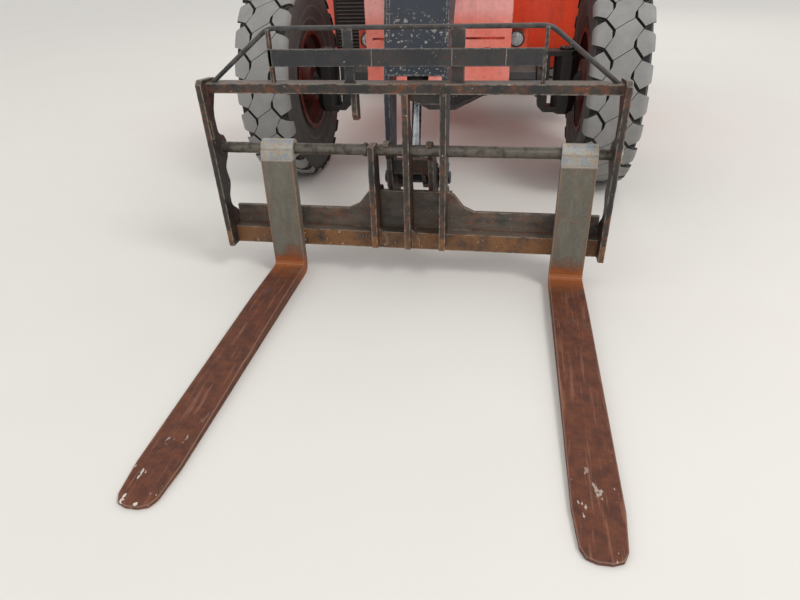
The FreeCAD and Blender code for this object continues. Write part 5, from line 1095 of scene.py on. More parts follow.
class TELEHANDLER_OT_controls(bpy.types.Operator):
    """Makes the dash with its wheel and gauges and the lever console in place of the plain ones"""
    bl_idname = "telehandler.controls"
    bl_label = "Controls"

    def execute(self, context):
        middle = SEAT_MIDDLE
        bm = bmesh.new()
        dash = [(355, CAB_FLOOR), (510, CAB_FLOOR), (545, 955), (582, 1225), (570, 1262), (520, 1310),
                (490, 1322),
                (430, 1285), (355, 1105)]
        prism(bm, [(middle - 168, y, z) for y, z in dash], (336, 0, 0), 0)
        slope = Vector((0, -60, 50)).normalized()
        facing = Vector((0, 50, 60)).normalized()
        centre = Vector((middle, 544, 1288))
        radius = 30
        for across, along in ((-92, 0), (0, 2), (92, 0)):
            spot = centre + Vector((across, 0, 0)) + slope * along - facing * 3
            lathe(bm, spot, facing, [(0, radius), (5, radius), (6, radius - 2), (6, radius - 5),
                                     (3, radius - 6), (3, 0)],
                  36, 0)
            lathe(bm, spot + facing * 3.2, facing, [(0, radius - 6), (0.6, radius - 6), (0.6, 0)], 36, 3)
            needle = Vector((1, 0, 0)) * 0.5 + slope * 0.8
            tube(bm, [spot + facing * 4.5 - needle * 4, spot + facing * 4.5 + needle * (radius - 9)], 1, 6,
                 material=4)
        for across in (-150, -134, 134, 150):
            spot = centre + Vector((across, 0, 0)) - facing * 3
            lathe(bm, spot, facing, [(0, 7), (7, 7), (8, 6), (8, 0)], 12, 0)
        column_low, column_high = Vector((middle, 530, 1245)), Vector((middle, 710, 1445))
        lean = (column_high - column_low).normalized()
        lathe(bm, column_low, lean, [(0, 40), (16, 40), (34, 29), (250, 26), (262, 30), (268, 30)], 28, 0)
        across = lean.orthogonal().normalized()
        other = lean.cross(across)
        wheel = [column_high + (across * math.cos(a) + other * math.sin(a)) * 176
                 for a in [2 * math.pi * k / 72 for k in range(72)]]
        tube(bm, wheel, 12.5, 14, closed=True, material=1)
        lathe(bm, column_high, lean, [(-11, 0), (-11, 40), (4, 44), (9, 38), (11, 0)], 36, 1)
        for turn in (math.pi / 2, math.pi * 7 / 6, math.pi * 11 / 6):
            spoke = Vector((1, 0, 0)) * math.cos(turn) + lean.cross(Vector((1, 0, 0))) * math.sin(turn)
            wide = lean.cross(spoke) * 13
            foot = column_high + spoke * 34 - lean * 2
            prism(bm, [foot - wide * 1.3, foot + wide * 1.3, foot + spoke * 134 + wide,
                       foot + spoke * 134 - wide],
                  lean * -5, 1)
        knob = column_high + (across * math.cos(0.9) + other * math.sin(0.9)) * 172
        lathe(bm, knob, lean, [(8, 7), (11, 7), (11, 0)], 16, 1)
        for side in (-1, 1):
            stalk = column_high - lean * 70
            tube(bm, [stalk, stalk + Vector((side * 60, -6, 4)), stalk + Vector((side * 130, 4, 8))], 6, 10,
                 material=0)
        for x in (middle - 110, middle + 110, middle + 30):
            prism(bm, [(x - 32, 548, 780), (x + 32, 548, 780), (x + 32, 578, 850), (x - 32, 578, 850)],
                  (0, 7, -3), 1)
            tube(bm, [(x, 530, 800), (x, 556, 812)], 7, 8, material=2)
        console = [(1060, CAB_FLOOR), (1500, CAB_FLOOR), (1500, 1228), (1480, 1247), (1150, 1283), (1120, 1280),
                   (1060, 1185)]
        prism(bm, [(450, y, z) for y, z in console], (94, 0, 0), 0)
        lathe(bm, Vector((500, 1160, 1258)), (0, 0, 1),
              [(10, 46), (26, 40), (30, 32), (42, 30), (46, 22), (60, 20),
                                                        (66, 12), (66, 0)], 28, 1)
        tube(bm, [(500, 1160, 1300), (500, 1160, 1350)], 7, 12, material=2)
        lathe(bm, Vector((500, 1160, 1330)), (0, 0, 1),
              [(0, 13), (14, 17), (44, 19), (66, 15), (75, 7), (75, 0)], 28, 1)
        for y, z in ((1250, 1276), (1290, 1271), (1330, 1267), (1370, 1262)):
            for x in (478, 516):
                box(bm, (x - 11, y - 15, z - 14), (x + 11, y + 15, z + 3), 1)
        for y in (1425, 1455):
            lathe(bm, Vector((497, y, 1248)), (0, 0, 1), [(0, 9), (12, 8), (14, 6), (14, 0)], 16, 1)
        finish_piece("detailed_controls", bm, "cab_controls", ["plastic_black_moulded", "vinyl_black_grained",
                                                               "zinc_steel_plated", "lamp_lens_clear",
                                                               "lamp_lens_amber"],
                     ("cab_controls",), bevel=1.5)
        return {"FINISHED"}


def on_screen(x, z, out=0.0):
    """Place on the cab's sloping front screen, out millimetres in front of its outer face."""
    lean = (z - SCREEN_FOOT_Z) * SCREEN_LEAN / (CAB_Z1 - SCREEN_FOOT_Z)
    return Vector((x, CAB_Y0 + lean, z)) + SCREEN_OUT * out


def on_rear(x, z):
    """Place on the cab's rear wall, which is upright at first and leans above that."""
    return Vector((x, CAB_Y1 - max(0, z - REAR_WALL_FOOT_Z) * REAR_WALL_LEAN / (CAB_Z1 - REAR_WALL_FOOT_Z), z))


class TELEHANDLER_OT_cab_fittings(bpy.types.Operator):
    """Makes the window seals, wiper, grab rail, apron and door lock"""
    bl_idname = "telehandler.cab_fittings"
    bl_label = "Cab fittings"

    def execute(self, context):
        bm = bmesh.new()
        loops = [
            [on_screen(465, 1210), on_screen(1120, 1210), on_screen(1120, 2410), on_screen(465, 2410)],
            [on_rear(465, 1350), on_rear(1120, 1350), on_rear(1120, 1500), on_rear(1120, 2390),
             on_rear(465, 2390),
             on_rear(465, 1500)],
            [Vector((CAB_X0, y, z)) for y, z in ((640, 1350), (1680, 1350), (1620, 2390), (710, 2390))],
            [Vector((CAB_X1, y, z)) for y, z in ((1510, 1350), (1740, 1350), (1680, 2390), (1510, 2390))],
            [Vector((x, y, CAB_Z1 - 8)) for x, y in ((505, 790), (1080, 790), (1080, 1430), (505, 1430))]]
        for loop in loops:
            tube(bm, rounded(loop, 34, 5), 8, 8, closed=True)
        finish_piece("window_seals", bm, "cab_shell", ["rubber_seal_extruded"], crease=60)
        bm = bmesh.new()
        window = [Vector((CAB_X1, y, z)) for y,
                  z in ((590, 1180), (1350, 1180), (1350, 2360), (695, 2360), (590, 1760))]
        tube(bm, rounded(window, 34, 5), 8, 8, closed=True)
        finish_piece("door_window_seal", bm, "cab_door", ["rubber_seal_extruded"], crease=60)
        bm = bmesh.new()
        lathe(bm, Vector((CAB_X1, 650, 1040)), (1, 0, 0), [(-1, 17), (5, 16), (7, 14), (7, 6), (5, 5), (5, 0)],
              24, 0)
        prism(bm, [(CAB_X1 + 20, 592, 1086), (CAB_X1 + 20, 712, 1088), (CAB_X1 + 20, 712, 1102),
                   (CAB_X1 + 20, 592, 1106)], (9, 0, 0), 1)
        finish_piece("door_lock_and_lever", bm, "cab_door", ["zinc_steel_plated", "plastic_black_moulded"],
                     bevel=1.5)
        bm = bmesh.new()
        spindle = on_screen(760, 1185)
        lathe(bm, spindle, SCREEN_OUT, [(-2, 15), (8, 13), (12, 9), (22, 9), (24, 6), (24, 0)], 20, 0)
        elbow, holder = on_screen(700, 1400, 14), on_screen(592, 1620, -6)
        tube(bm, [spindle + SCREEN_OUT * 18, elbow, holder], 5, 8, material=0)
        for offset, radius, material in ((-9, 5, 1), (-14, 3, 1)):
            tube(bm, [on_screen(592 + (z - 1620) * 0.03, z, offset) for z in range(1290, 1960, 60)], radius, 6,
                 material=material)
        for z in (1430, 1810):
            tube(bm, [holder, on_screen(592 + (z - 1620) * 0.03, z, -8)], 3.5, 6, material=0)
        rail = rounded([(CAB_X1 - 2, 462, 1270), (CAB_X1 + 30, 462, 1270), (CAB_X1 + 30, 508, 1680),
                        (CAB_X1 - 2, 508, 1680)], 26, 5, closed=False)
        tube(bm, rail, 9, 14, material=0)
        for y, z in ((462, 1270), (508, 1680)):
            lathe(bm, Vector((CAB_X1 - 1, y, z)), (1, 0, 0), [(0, 20), (5, 20), (6, 18), (6, 9)], 24, 0)
        # Apron below the cab's front wall, clear of the steered tyre
        apron = [(CAB_X0 + 3, 684), (CAB_X0 + 3, 612), (CAB_X0 + 17, 598), (CAB_X1 - 17, 598),
                 (CAB_X1 - 3, 612),
                 (CAB_X1 - 3, 684)]
        prism(bm, [(x, CAB_Y0 + 2, z) for x, z in apron], (0, 6, 0), 3)
        for z in (1000, 1900):
            for dz in (-42, 42):
                for dy in (16, 32):
                    hexagon(bm, Vector((CAB_X1 - 0.5, 1420 + dy, z + dz)), (1, 0, 0), 8, 5, 2)
        finish_piece("wiper_rail_and_apron", bm, "cab_shell", ["black_enamel_sprayed", "rubber_seal_extruded",
                                                               "zinc_steel_plated", "orange_enamel_sprayed"],
                     bevel=0.8)
        return {"FINISHED"}


# Uprights of the load backrest: left edge, right edge, and whether it is one of the outer two
BACKREST_UPRIGHTS = ((-590, -576, True), (-262, -218, False), (193, 250, False), (566, 580, True))


class TELEHANDLER_OT_backrest(bpy.types.Operator):
    """Makes the load backrest of bent round bar, flat uprights and a flat bar in place of the plain one"""
    bl_idname = "telehandler.backrest"
    bl_label = "Load backrest"

    def execute(self, context):
        y = FORK_FACE_Y + 30
        low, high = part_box("backrest")
        rail, top = low[2] / MM, high[2] / MM
        bar = 10
        bm = bmesh.new()
        arch = rounded([(low[0] / MM + bar, y, rail - 4), (-586, y, top - bar), (586, y, top - bar),
                        (high[0] / MM - bar, y, rail - 4)], 34, 6, closed=False)
        tube(bm, arch, bar, 16)
        for left, right, outer in BACKREST_UPRIGHTS:
            front, back = (y - 20, y + 10) if outer else (y - 8, y + 4)
            box(bm, (left, front, rail - 1), (right, back, top - bar - 3), int(outer))
            if not outer:
                middle = (left + right) / 2
                prism(bm, [(middle - 6, y + 3, rail - 1), (middle - 6, y + 50, rail - 1),
                           (middle - 6, y + 3, 1063)],
                      (12, 0, 0))
        box(bm, (-591, y - 20, 1000), (570, y - 8, 1070))
        finish_piece("round_bar_backrest", bm, "backrest", ["backrest_bar_scuffed", "carriage_plate_worn"],
                     ("backrest",), bevel=1.5)
        return {"FINISHED"}


class TELEHANDLER_OT_front_fittings(bpy.types.Operator):
    """Makes the turned fork shaft with its nuts, and the weld beads of the carriage and the nose"""
    bl_idname = "telehandler.front_fittings"
    bl_label = "Front fittings"

    def execute(self, context):
        bm = bmesh.new()
        out = Vector((1, 0, 0))
        middle = Vector((0, SHAFT_Y, SHAFT_Z))
        end = CARRIAGE_HALF + 24.3
        lathe(bm, middle, out, [(-end, 0), (-end, 22), (3 - end, SHAFT_RADIUS), (end - 3, SHAFT_RADIUS),
                                (end, 22),
                                (end, 0)], 48)
        lathe(bm, middle, out, [(-205, 26), (-205, 30), (-204, 31), (-188, 31), (-187, 30), (-187, 26)], 40)
        hexagon(bm, middle + Vector((-196, 0, 31)), (0, 0, 1), 10, 5, 1)
        for side in (-1, 1):
            nut = middle + out * side * (CARRIAGE_HALF + 0.6)
            lathe(bm, nut, out * side, [(0, 26), (0, 39), (2, 41.5), (15, 41.5), (18, 38), (18, 26)], 6, 1)
            tube(bm, [nut + out * side * 21 + Vector((0, 0, t)) for t in (-31, 31)], 2.2, 8, material=1)
        finish_piece("turned_fork_shaft", bm, "fork_shaft", ["shaft_steel_turned", "zinc_steel_plated"],
                     ("fork_shaft",), crease=40)
        f = FORK_FACE_Y
        bar_y, bar_z = f + 51, BAR_TOP_Z
        # Beads of the carriage: along its ribs, then along its end plates and its back plate
        bm = bmesh.new()
        for x, top in ((-160, 662), (0, 892), (165, 892)):
            for face in (x - 14, x + 14):
                weld(bm, (face, bar_y + 2, bar_z), (face, f + 105, bar_z), 4.5)
                weld(bm, (face, bar_y, 172), (face, bar_y, bar_z - 2), 4.5)
                weld(bm, (face, f + 108, bar_z + 4), (face, f + 108, 412), 4.5)
                if top > 800:
                    weld(bm, (face, f - 6, 892), (face, f + 60, 892), 4.5)
        for side in (-1, 1):
            inner = side * (CARRIAGE_HALF - 26)
            weld(bm, (inner, f - 5, 891), (inner, f + 76, 891), 4.5)
            weld(bm, (inner, f - 7, 895), (inner, f - 7, 930), 4)
            weld(bm, (inner, bar_y, 150), (inner, bar_y, 227), 4.5)
            weld(bm, (inner, bar_y + 3, bar_z), (inner, f + 106, bar_z), 4.5)
            weld(bm, (side * 300, f + 108, bar_z), (side * 880, f + 108, bar_z), 4.5)
            weld(bm, (side * 30, f + 108, bar_z), (side * 145, f + 108, bar_z), 4.5)
            lathe(bm, Vector((side * (CARRIAGE_HALF - 1), SHAFT_Y, SHAFT_Z)), (side, 0, 0),
                  [(0, 52), (4, 50), (4, 44)], 32)
        weld(bm, (14, f + 19, 846), (14, f + 19, 888), 4)
        finish_piece("carriage_weld_beads", bm, "carriage", ["weld_bead_worn"], crease=60)
        bm = bmesh.new()
        for left, right, _ in BACKREST_UPRIGHTS:
            for x in (left, right):
                weld(bm, (x, f + 22, 934), (x, f + 34, 934), 4)
            for z in (1000, 1070):
                weld(bm, (left + 2, f + 21, z), (right - 2, f + 21, z), 3.5)
            weld(bm, (left, f + 28, 1141), (right, f + 28, 1141), 4)
        for x in (-138, 198, 417):
            weld(bm, (x, f + 10, 1002), (x, f + 10, 1068), 1.8, material=1)
        finish_piece("backrest_weld_beads", bm, "backrest", ["weld_bead_worn", "zinc_steel_plated"],
                     crease=60)
        # Nose of the boom: beads down its plates, pin heads, and the retainers of the coupler's pin
        bm = bmesh.new()
        for side in (-1, 1):
            weld(bm, (side * 138, -1648, 1560), (side * 138, -1813, 912), 4)
            head = Vector((side * 168, -1760, 400))
            lathe(bm, head, (side, 0, 0), [(-4, 30), (0, 30), (2, 27), (2, 12), (0, 10), (0, 0)], 32)
            hexagon(bm, Vector((side * 150, -1700, 455)), (side, 0, 0), 17, 10, 1)
            prism(bm, [(side * 150, -1712, 470), (side * 150, -1690, 440), (side * 150, -1735, 405),
                       (side * 150, -1752, 428)], (side * 6, 0, 0), 0)
            lathe(bm, Vector((side * 162, *CYLINDERS["tilt"][0])), (side, 0, 0),
                  [(-4, 25), (0, 25), (1.5, 22), (1.5, 0)], 28)
        weld(bm, (-134, -1815, 909), (134, -1815, 909), 4)
        weld(bm, (-134, -1644, 1572), (134, -1644, 1572), 4)
        finish_piece("nose_weld_beads", bm, "inner_boom", ["slate_enamel_sprayed", "zinc_steel_plated"],
                     crease=60)
        bm = bmesh.new()
        for side in (-1, 1):
            lathe(bm, Vector((side * 194, -1975, 385)), (side, 0, 0), [(-6, 20), (0, 20), (2, 18), (2, 0)], 28)
            hexagon(bm, Vector((side * 150, -1975, 405)), (0, 0, 1), 10, 6, 1)
            for y, z in ((-1790, 470), (-1830, 520)):
                hexagon(bm, Vector((side * 110, y, z - 40)), (side, 0, 0), 13, 6, 1)
            weld(bm, (side * 84, -1987, 488), (side * 84, -1957, 488), 3.5, material=0)
        finish_piece("coupler_fittings", bm, "coupler", ["carriage_plate_worn", "zinc_steel_plated"],
                     crease=60)
        return {"FINISHED"}


class TELEHANDLER_OT_engine_fittings(bpy.types.Operator):
    """Makes the pod's grille mesh, louvres and latches, and the exhaust with its slotted shield"""
    bl_idname = "telehandler.engine_fittings"
    bl_label = "Engine side fittings"

    def execute(self, context):
        bm = bmesh.new()
        # Wire mesh of the rear grille, with its frame
        wires, spacing = 22, 19.4
        for i in range(wires):
            x = -986 + i * spacing
            tube(bm, [(x, 1976, 798), (x, 1976, 1222)], 1.3, 5)
        for i in range(wires):
            z = 806 + i * spacing
            tube(bm, [(-992, 1978.4, z), (-573, 1978.4, z)], 1.3, 5)
        edge = [(-996, 1979, 794), (-569, 1979, 794), (-569, 1979, 1226), (-996, 1979, 1226)]
        tube(bm, rounded(edge, 12, 3), 5, 8, closed=True, material=1)
        for row in range(9):
            for column in range(3):
                y, z = 860 + column * 235, 860 + row * 34
                prism(bm, [(POD_X0 + 1, y, z), (POD_X0 - 9, y + 6, z - 4), (POD_X0 - 9, y + 194, z - 4),
                           (POD_X0 + 1, y + 200, z)], (0, 0, 12), 2)
        for y in (600, 1700):
            box(bm, (POD_X0 - 8, y - 20, 1222), (POD_X0 + 1, y + 20, 1262), 3)
            tube(bm, rounded([(POD_X0 - 6, y - 14, 1238), (POD_X0 - 15, y - 14, 1250),
                              (POD_X0 - 15, y + 14, 1250),
                              (POD_X0 - 6, y + 14, 1238)], 6, 3, closed=False), 3, 8, material=3)
        for x, z in ((-1040, 760), (-1040, 1240), (-530, 760), (-530, 1240)):
            hexagon(bm, Vector((x, POD_Y1, z)), (0, 1, 0), 13, 8, 3)
        # Air screen on the pod's front: backing, frame and leaning slats, all black; a black sheet that stands as
        # painted shade over the pod's front
        left, right, low, high, face = -944, -470, 650, 1262, POD_Y0
        box(bm, (left, face - 2, low), (right, face + 1, high), 1)
        for corner, far in (((left, low), (right, low + 18)), ((left, high - 18), (right, high)),
                            ((left, low), (left + 18, high)), ((right - 18, low), (right, high))):
            box(bm, (corner[0], face - 9, corner[1]), (far[0], face + 1, far[1]), 0)
        for z in range(low + 30, high - 30, 26):
            prism(bm, [(left + 16, face - 1, z), (left + 16, face - 7, z - 8), (left + 16, face - 8, z - 6),
                       (left + 16, face - 1, z + 4)], (right - left - 32, 0, 0), 0)
        for y in (420, 800, 1200, 1600, 1900):
            hexagon(bm, Vector((POD_X0, y, 660)), (-1, 0, 0), 16, 9, 3)
        finish_piece("pod_grille_and_louvres", bm, "engine_pod",
                     ["black_enamel_sprayed", "rubber_seal_extruded",
                                                                  "orange_enamel_sprayed", "zinc_steel_plated"],
                     bevel=1)
        bm = bmesh.new()
        for y in (600, 1700):
            prism(bm, [(POD_X0 - 14, y - 15, 1252), (POD_X0 - 14, y + 15, 1252), (POD_X0 - 14, y + 15, 1330),
                       (POD_X0 - 14, y - 15, 1330)], (-5, 0, 0), 0)
            box(bm, (POD_X0 - 16, y - 22, 1326), (POD_X0 + 1, y + 22, 1366), 1)
        tube(bm, rounded([(POD_X0 - 1, 1080, 1400), (POD_X0 - 34, 1080, 1400), (POD_X0 - 34, 1220, 1400),
                          (POD_X0 - 1, 1220, 1400)], 16, 4, closed=False), 8, 12, material=1)
        for y in range(700, 1700, 90):
            prism(bm, [(-700, y, HOOD_Z1 - 6), (-700, y + 44, HOOD_Z1 - 6), (-700, y + 38, HOOD_Z1 - 0.2),
                       (-700, y + 6, HOOD_Z1 - 0.2)], (180, 0, 0), 1)
        finish_piece("hood_latches_and_handle", bm, "engine_hood",
                     ["rubber_seal_extruded", "black_enamel_sprayed"],
                     bevel=1)
        bm = bmesh.new()
        x, y = -575, 2060
        base = Vector((x, y, 0))
        up = Vector((0, 0, 1))
        lathe(bm, base, up, [(960, 0), (960, 34), (966, 42), (1898, 42), (1900, 40), (1900, 38), (1700, 37),
                             (1700, 0)],
              56)
        tube(bm, [(x, POD_Y1, 1010), (x, 2055, 1010)], 36, 32)
        lathe(bm, Vector((x, 1979, 1010)), (0, 1, 0), [(0, 50), (8, 50), (9, 48), (9, 36)], 32)
        for turn in range(4):
            angle = math.pi / 4 + turn * math.pi / 2
            hexagon(bm, Vector((x + 43 * math.cos(angle), 1988, 1010 + 43 * math.sin(angle))), (0, 1, 0), 10, 7,
                    1)
        for z in (1238, 1706):
            lathe(bm, base, up, [(z, 42), (z, 47), (z + 14, 47), (z + 14, 42)], 40, 1)
            hexagon(bm, Vector((x, y + 46, z + 7)), (0, 1, 0), 10, 5, 1)
        finish_piece("exhaust_stack_and_clamps", bm, "exhaust", ["exhaust_steel_scaled", "zinc_steel_plated"],
                     ("exhaust",))
        bm = bmesh.new()
        # Heat shield: a tube of small faces with slots left open in it
        columns, radius = 48, 50
        levels = [1250 + 12 * k for k in range(38)] + [1700]
        turns = [2 * math.pi * k / columns for k in range(columns)]
        grid = [[bm.verts.new(base + Vector((radius * math.cos(a), radius * math.sin(a), z))) for a in turns]
                for z in levels]
        for i in range(len(levels) - 1):
            for k in range(columns):
                if i % 6 in (1, 2, 3) and k % 4 in (1, 2) and 0 < i < len(levels) - 3:
                    continue
                j = (k + 1) % columns
                bm.faces.new((grid[i][k], grid[i][j], grid[i + 1][j], grid[i + 1][k]))
        shield = finish_piece("exhaust_heat_shield", bm, "exhaust", ["exhaust_steel_scaled"])
        thick = shield.modifiers.new("Sheet", "SOLIDIFY")
        thick.thickness = 1.5 * MM
        thick.offset = 1
        return {"FINISHED"}


def on_boom(along, above, across=0.0):
    """Place beside the boom's middle line, along it from its pivot and above it."""
    y = BOOM_PIVOT[0] - along * math.cos(BOOM_SLOPE) - above * math.sin(BOOM_SLOPE)
    z = BOOM_PIVOT[1] - along * math.sin(BOOM_SLOPE) + above * math.cos(BOOM_SLOPE)
    return Vector((across, y, z))


class TELEHANDLER_OT_boom_fittings(bpy.types.Operator):
    """Makes the wear pad bolts, the rigid pipes with their clamps, and the weld beads along the eyes under the outer
    boom
    """
    bl_idname = "telehandler.boom_fittings"
    bl_label = "Boom fittings"

    def execute(self, context):
        rise = (on_boom(0, 1) - on_boom(0, 0)).normalized()
        for node, along, half_width, half_height in (("outer_boom", 3904, 226, 276),
                                                     ("mid_boom", 4044, 194, 236)):
            bm = bmesh.new()
            for spot in (along - 22, along + 22):
                for side in (-1, 1):
                    for above in (-60, 60):
                        hexagon(bm, on_boom(spot, above, side * half_width), (side, 0, 0), 17, 10, 0)
                    for across in (-50, 50):
                        hexagon(bm, on_boom(spot, side * half_height, across), rise * side, 17, 9, 0)
            if node == "outer_boom":
                for above in (44, 70):
                    line = [on_boom(950, above - 26, 206), on_boom(990, above, 222), on_boom(3740, above, 222),
                            on_boom(3780, above - 10, 206)]
                    tube(bm, rounded(line, 30, 4, closed=False), 6.5, 12, material=1)
                for spot in range(1100, 3740, 520):
                    low, high = on_boom(spot, 30, 209), on_boom(spot, 84, 209)
                    ahead = on_boom(spot + 34, 30, 209) - low
                    prism(bm, [low, high, high + ahead, low + ahead], (10, 0, 0), 2)
                    prism(bm, [low + ahead * 0.2, high + ahead * 0.2, high + ahead * 0.8, low + ahead * 0.8],
                          (23, 0, 0), 2)
                    hexagon(bm, on_boom(spot + 17, 57, 232), (1, 0, 0), 10, 6, 0)
                # Beads along the eyes that the lift and the levelling cylinder push on
                for name, half, faces in (("lift", 130, (50, 72)), ("level", 110, (34, 56))):
                    y = CYLINDERS[name][1][0]
                    low, high = y - half + 4, y + half - 4
                    for side in (-1, 1):
                        for face in faces:
                            weld(bm, (side * face, low, underside(low) - 1),
                                 (side * face, high, underside(high) - 1),
                                 4, material=3)
            finish_piece(f"{node}_bolts_and_pipes", bm, node, ["zinc_steel_plated", "black_enamel_sprayed",
                                                               "plastic_black_moulded", "orange_enamel_sprayed"],
                         crease=45)
        return {"FINISHED"}


class TELEHANDLER_OT_chassis_fittings(bpy.types.Operator):
    """Makes the axle bolts, pin retainers, tank cap and straps, step studs and tow pin"""
    bl_idname = "telehandler.chassis_fittings"
    bl_label = "Chassis fittings"

    def execute(self, context):
        ring_bolts, cover_bolts = 16, 10
        for end, y in AXLES.items():
            bm = bmesh.new()
            for side in (-1, 1):
                out = Vector((side, 0, 0))
                ring = Vector((side * 89, y, AXLE_Z))
                lathe(bm, ring, out, [(-12, 188), (0, 190), (8, 190), (10, 187), (10, 150)], 64)
                for i in range(ring_bolts):
                    turn = 2 * math.pi * i / ring_bolts
                    hexagon(bm, ring + out * 9 + Vector((0, math.cos(turn), math.sin(turn))) * 172, out, 16, 10,
                            1)
                for up in (-1, 1):
                    cap = Vector((side * KINGPIN_X, y, AXLE_Z + up * 206))
                    for i in range(4):
                        turn = math.pi / 4 + i * math.pi / 2
                        hexagon(bm, cap + Vector((math.cos(turn), math.sin(turn), 0)) * 32, (0, 0, up), 13, 8,
                                1)
                    lathe(bm, cap, (0, 0, up), [(0, 7), (4, 7), (5, 4), (11, 4), (14, 2), (14, 0)], 12, 1)
                lathe(bm, Vector((side * 280, y, AXLE_Z)), out, [(0, 86), (6, 98), (20, 98), (26, 88)], 48)
                lathe(bm, Vector((side * 610, y, AXLE_Z)), out, [(0, 86), (10, 104), (40, 104), (50, 90)], 48)
                for dy in (-82, 82):
                    for x in (FRAME_X - 45, FRAME_X + 12):
                        hexagon(bm, Vector((side * x, y + dy, 716)), (0, 0, -1), 20, 12, 1)
            toward = -1 if end == "front" else 1
            lathe(bm, Vector((0, y + toward * 183, AXLE_Z)), (0, toward, 0),
                  [(-20, 120), (0, 118), (14, 104), (22, 70),
                                                                             (24, 30), (24, 0)], 48)
            for i in range(cover_bolts):
                turn = 2 * math.pi * i / cover_bolts
                hexagon(bm, Vector((math.cos(turn) * 108, y + toward * 184, AXLE_Z + math.sin(turn) * 108)),
                        (0, toward, 0), 13, 8, 1)
            hexagon(bm, Vector((0, y + toward * 206, AXLE_Z)), (0, toward, 0), 22, 9, 1)
            finish_piece(f"{end}_axle_fittings", bm, f"{end}_axle",
                         ["black_enamel_sprayed", "zinc_steel_plated"])
        bm = bmesh.new()
        for side in (-1, 1):
            y, z = BOOM_PIVOT
            head = Vector((side * 290, y, z))
            lathe(bm, head, (side, 0, 0), [(-30, 45), (-2, 45), (0, 43), (0, 12), (-1, 10), (-1, 0)], 40)
            prism(bm, [(side * (FRAME_X + 1), y + dy, z + dz) for dy,
                       dz in ((-70, -70), (70, -70), (50, -40), (-50, -40))],
                  (side * 9, 0, 0), 0)
            for dy in (-48, 48):
                hexagon(bm, Vector((side * (FRAME_X + 10), y + dy, z - 58)), (side, 0, 0), 17, 10, 1)
            for pin in (CYLINDERS["lift"][0], CYLINDERS["level"][0]):
                lathe(bm, Vector((side * FRAME_X, *pin)), (side, 0, 0), [(-1, 44), (8, 44), (10, 42), (10, 0)],
                      32)
                hexagon(bm, Vector((side * (FRAME_X + 10), *pin)), (side, 0, 0), 20, 10, 1)
            for y in (-700, 300, 700, 1100, 1500):
                hexagon(bm, Vector((side * FRAME_X, y, 640 if y > 0 else 1100)), (side, 0, 0), 17, 10, 1)
        finish_piece("pin_retainers_and_bolts", bm, "chassis_frame",
                     ["orange_enamel_sprayed", "zinc_steel_plated"],
                     crease=45)
        bm = bmesh.new()
        lathe(bm, Vector((1010, 1560, 600)), (1, 0, 0),
              [(-2, 42), (6, 42), (8, 36), (20, 36), (26, 32), (28, 26),
                                                        (28, 0)], 40, 0)
        box(bm, (1034, 1552, 574), (1044, 1568, 626), 0)
        for y in (1240, 1720):
            line = [(262, 513.5), (961, 513.5), (1011.5, 564), (1011.5, 655)]
            for (xa, za), (xb, zb) in zip(line, line[1:]):
                prism(bm, [(xa, y, za), (xb, y, zb), (xb, y + 44, zb), (xa, y + 44, za)],
                      (3, 0, 0) if xa == xb else (1.5, 0, -3), 1)
        finish_piece("tank_cap_and_straps", bm, "fuel_tank", ["plastic_black_moulded", "zinc_steel_plated"])
        bm = bmesh.new()
        for z in (415, 585):
            for i in range(5):
                for k in range(13):
                    spot = Vector((1082 + i * 26, 742 + k * 29.5, z))
                    lathe(bm, spot, (0, 0, 1), [(-1, 7), (1.5, 6.5), (2.6, 4), (2.6, 0)], 10)
        finish_piece("step_grip_studs", bm, "cab_step", ["black_enamel_sprayed"], crease=60)
        bm = bmesh.new()
        lathe(bm, Vector((0, 3628, 752)), (0, 0, 1), [(0, 19), (150, 19)], 28, 0)
        for side in (-1, 1):
            for y in (3520, 3600):
                hexagon(bm, Vector((side * 480, y, 1000)), (side, 0, 0), 30, 16, 0)
                hexagon(bm, Vector((side * 480, y, 760)), (side, 0, 0), 30, 16, 0)
        for x in (-180, 180):
            tube(bm, rounded([(x - 40, 3560, 1148), (x - 40, 3560, 1178), (x + 40, 3560, 1178),
                              (x + 40, 3560, 1148)],
                             18, 4, closed=False), 9, 12, material=1)
        finish_piece("tow_pin_and_lifting_eyes", bm, "counterweight",
                     ["zinc_steel_plated", "black_enamel_sprayed"])
        return {"FINISHED"}


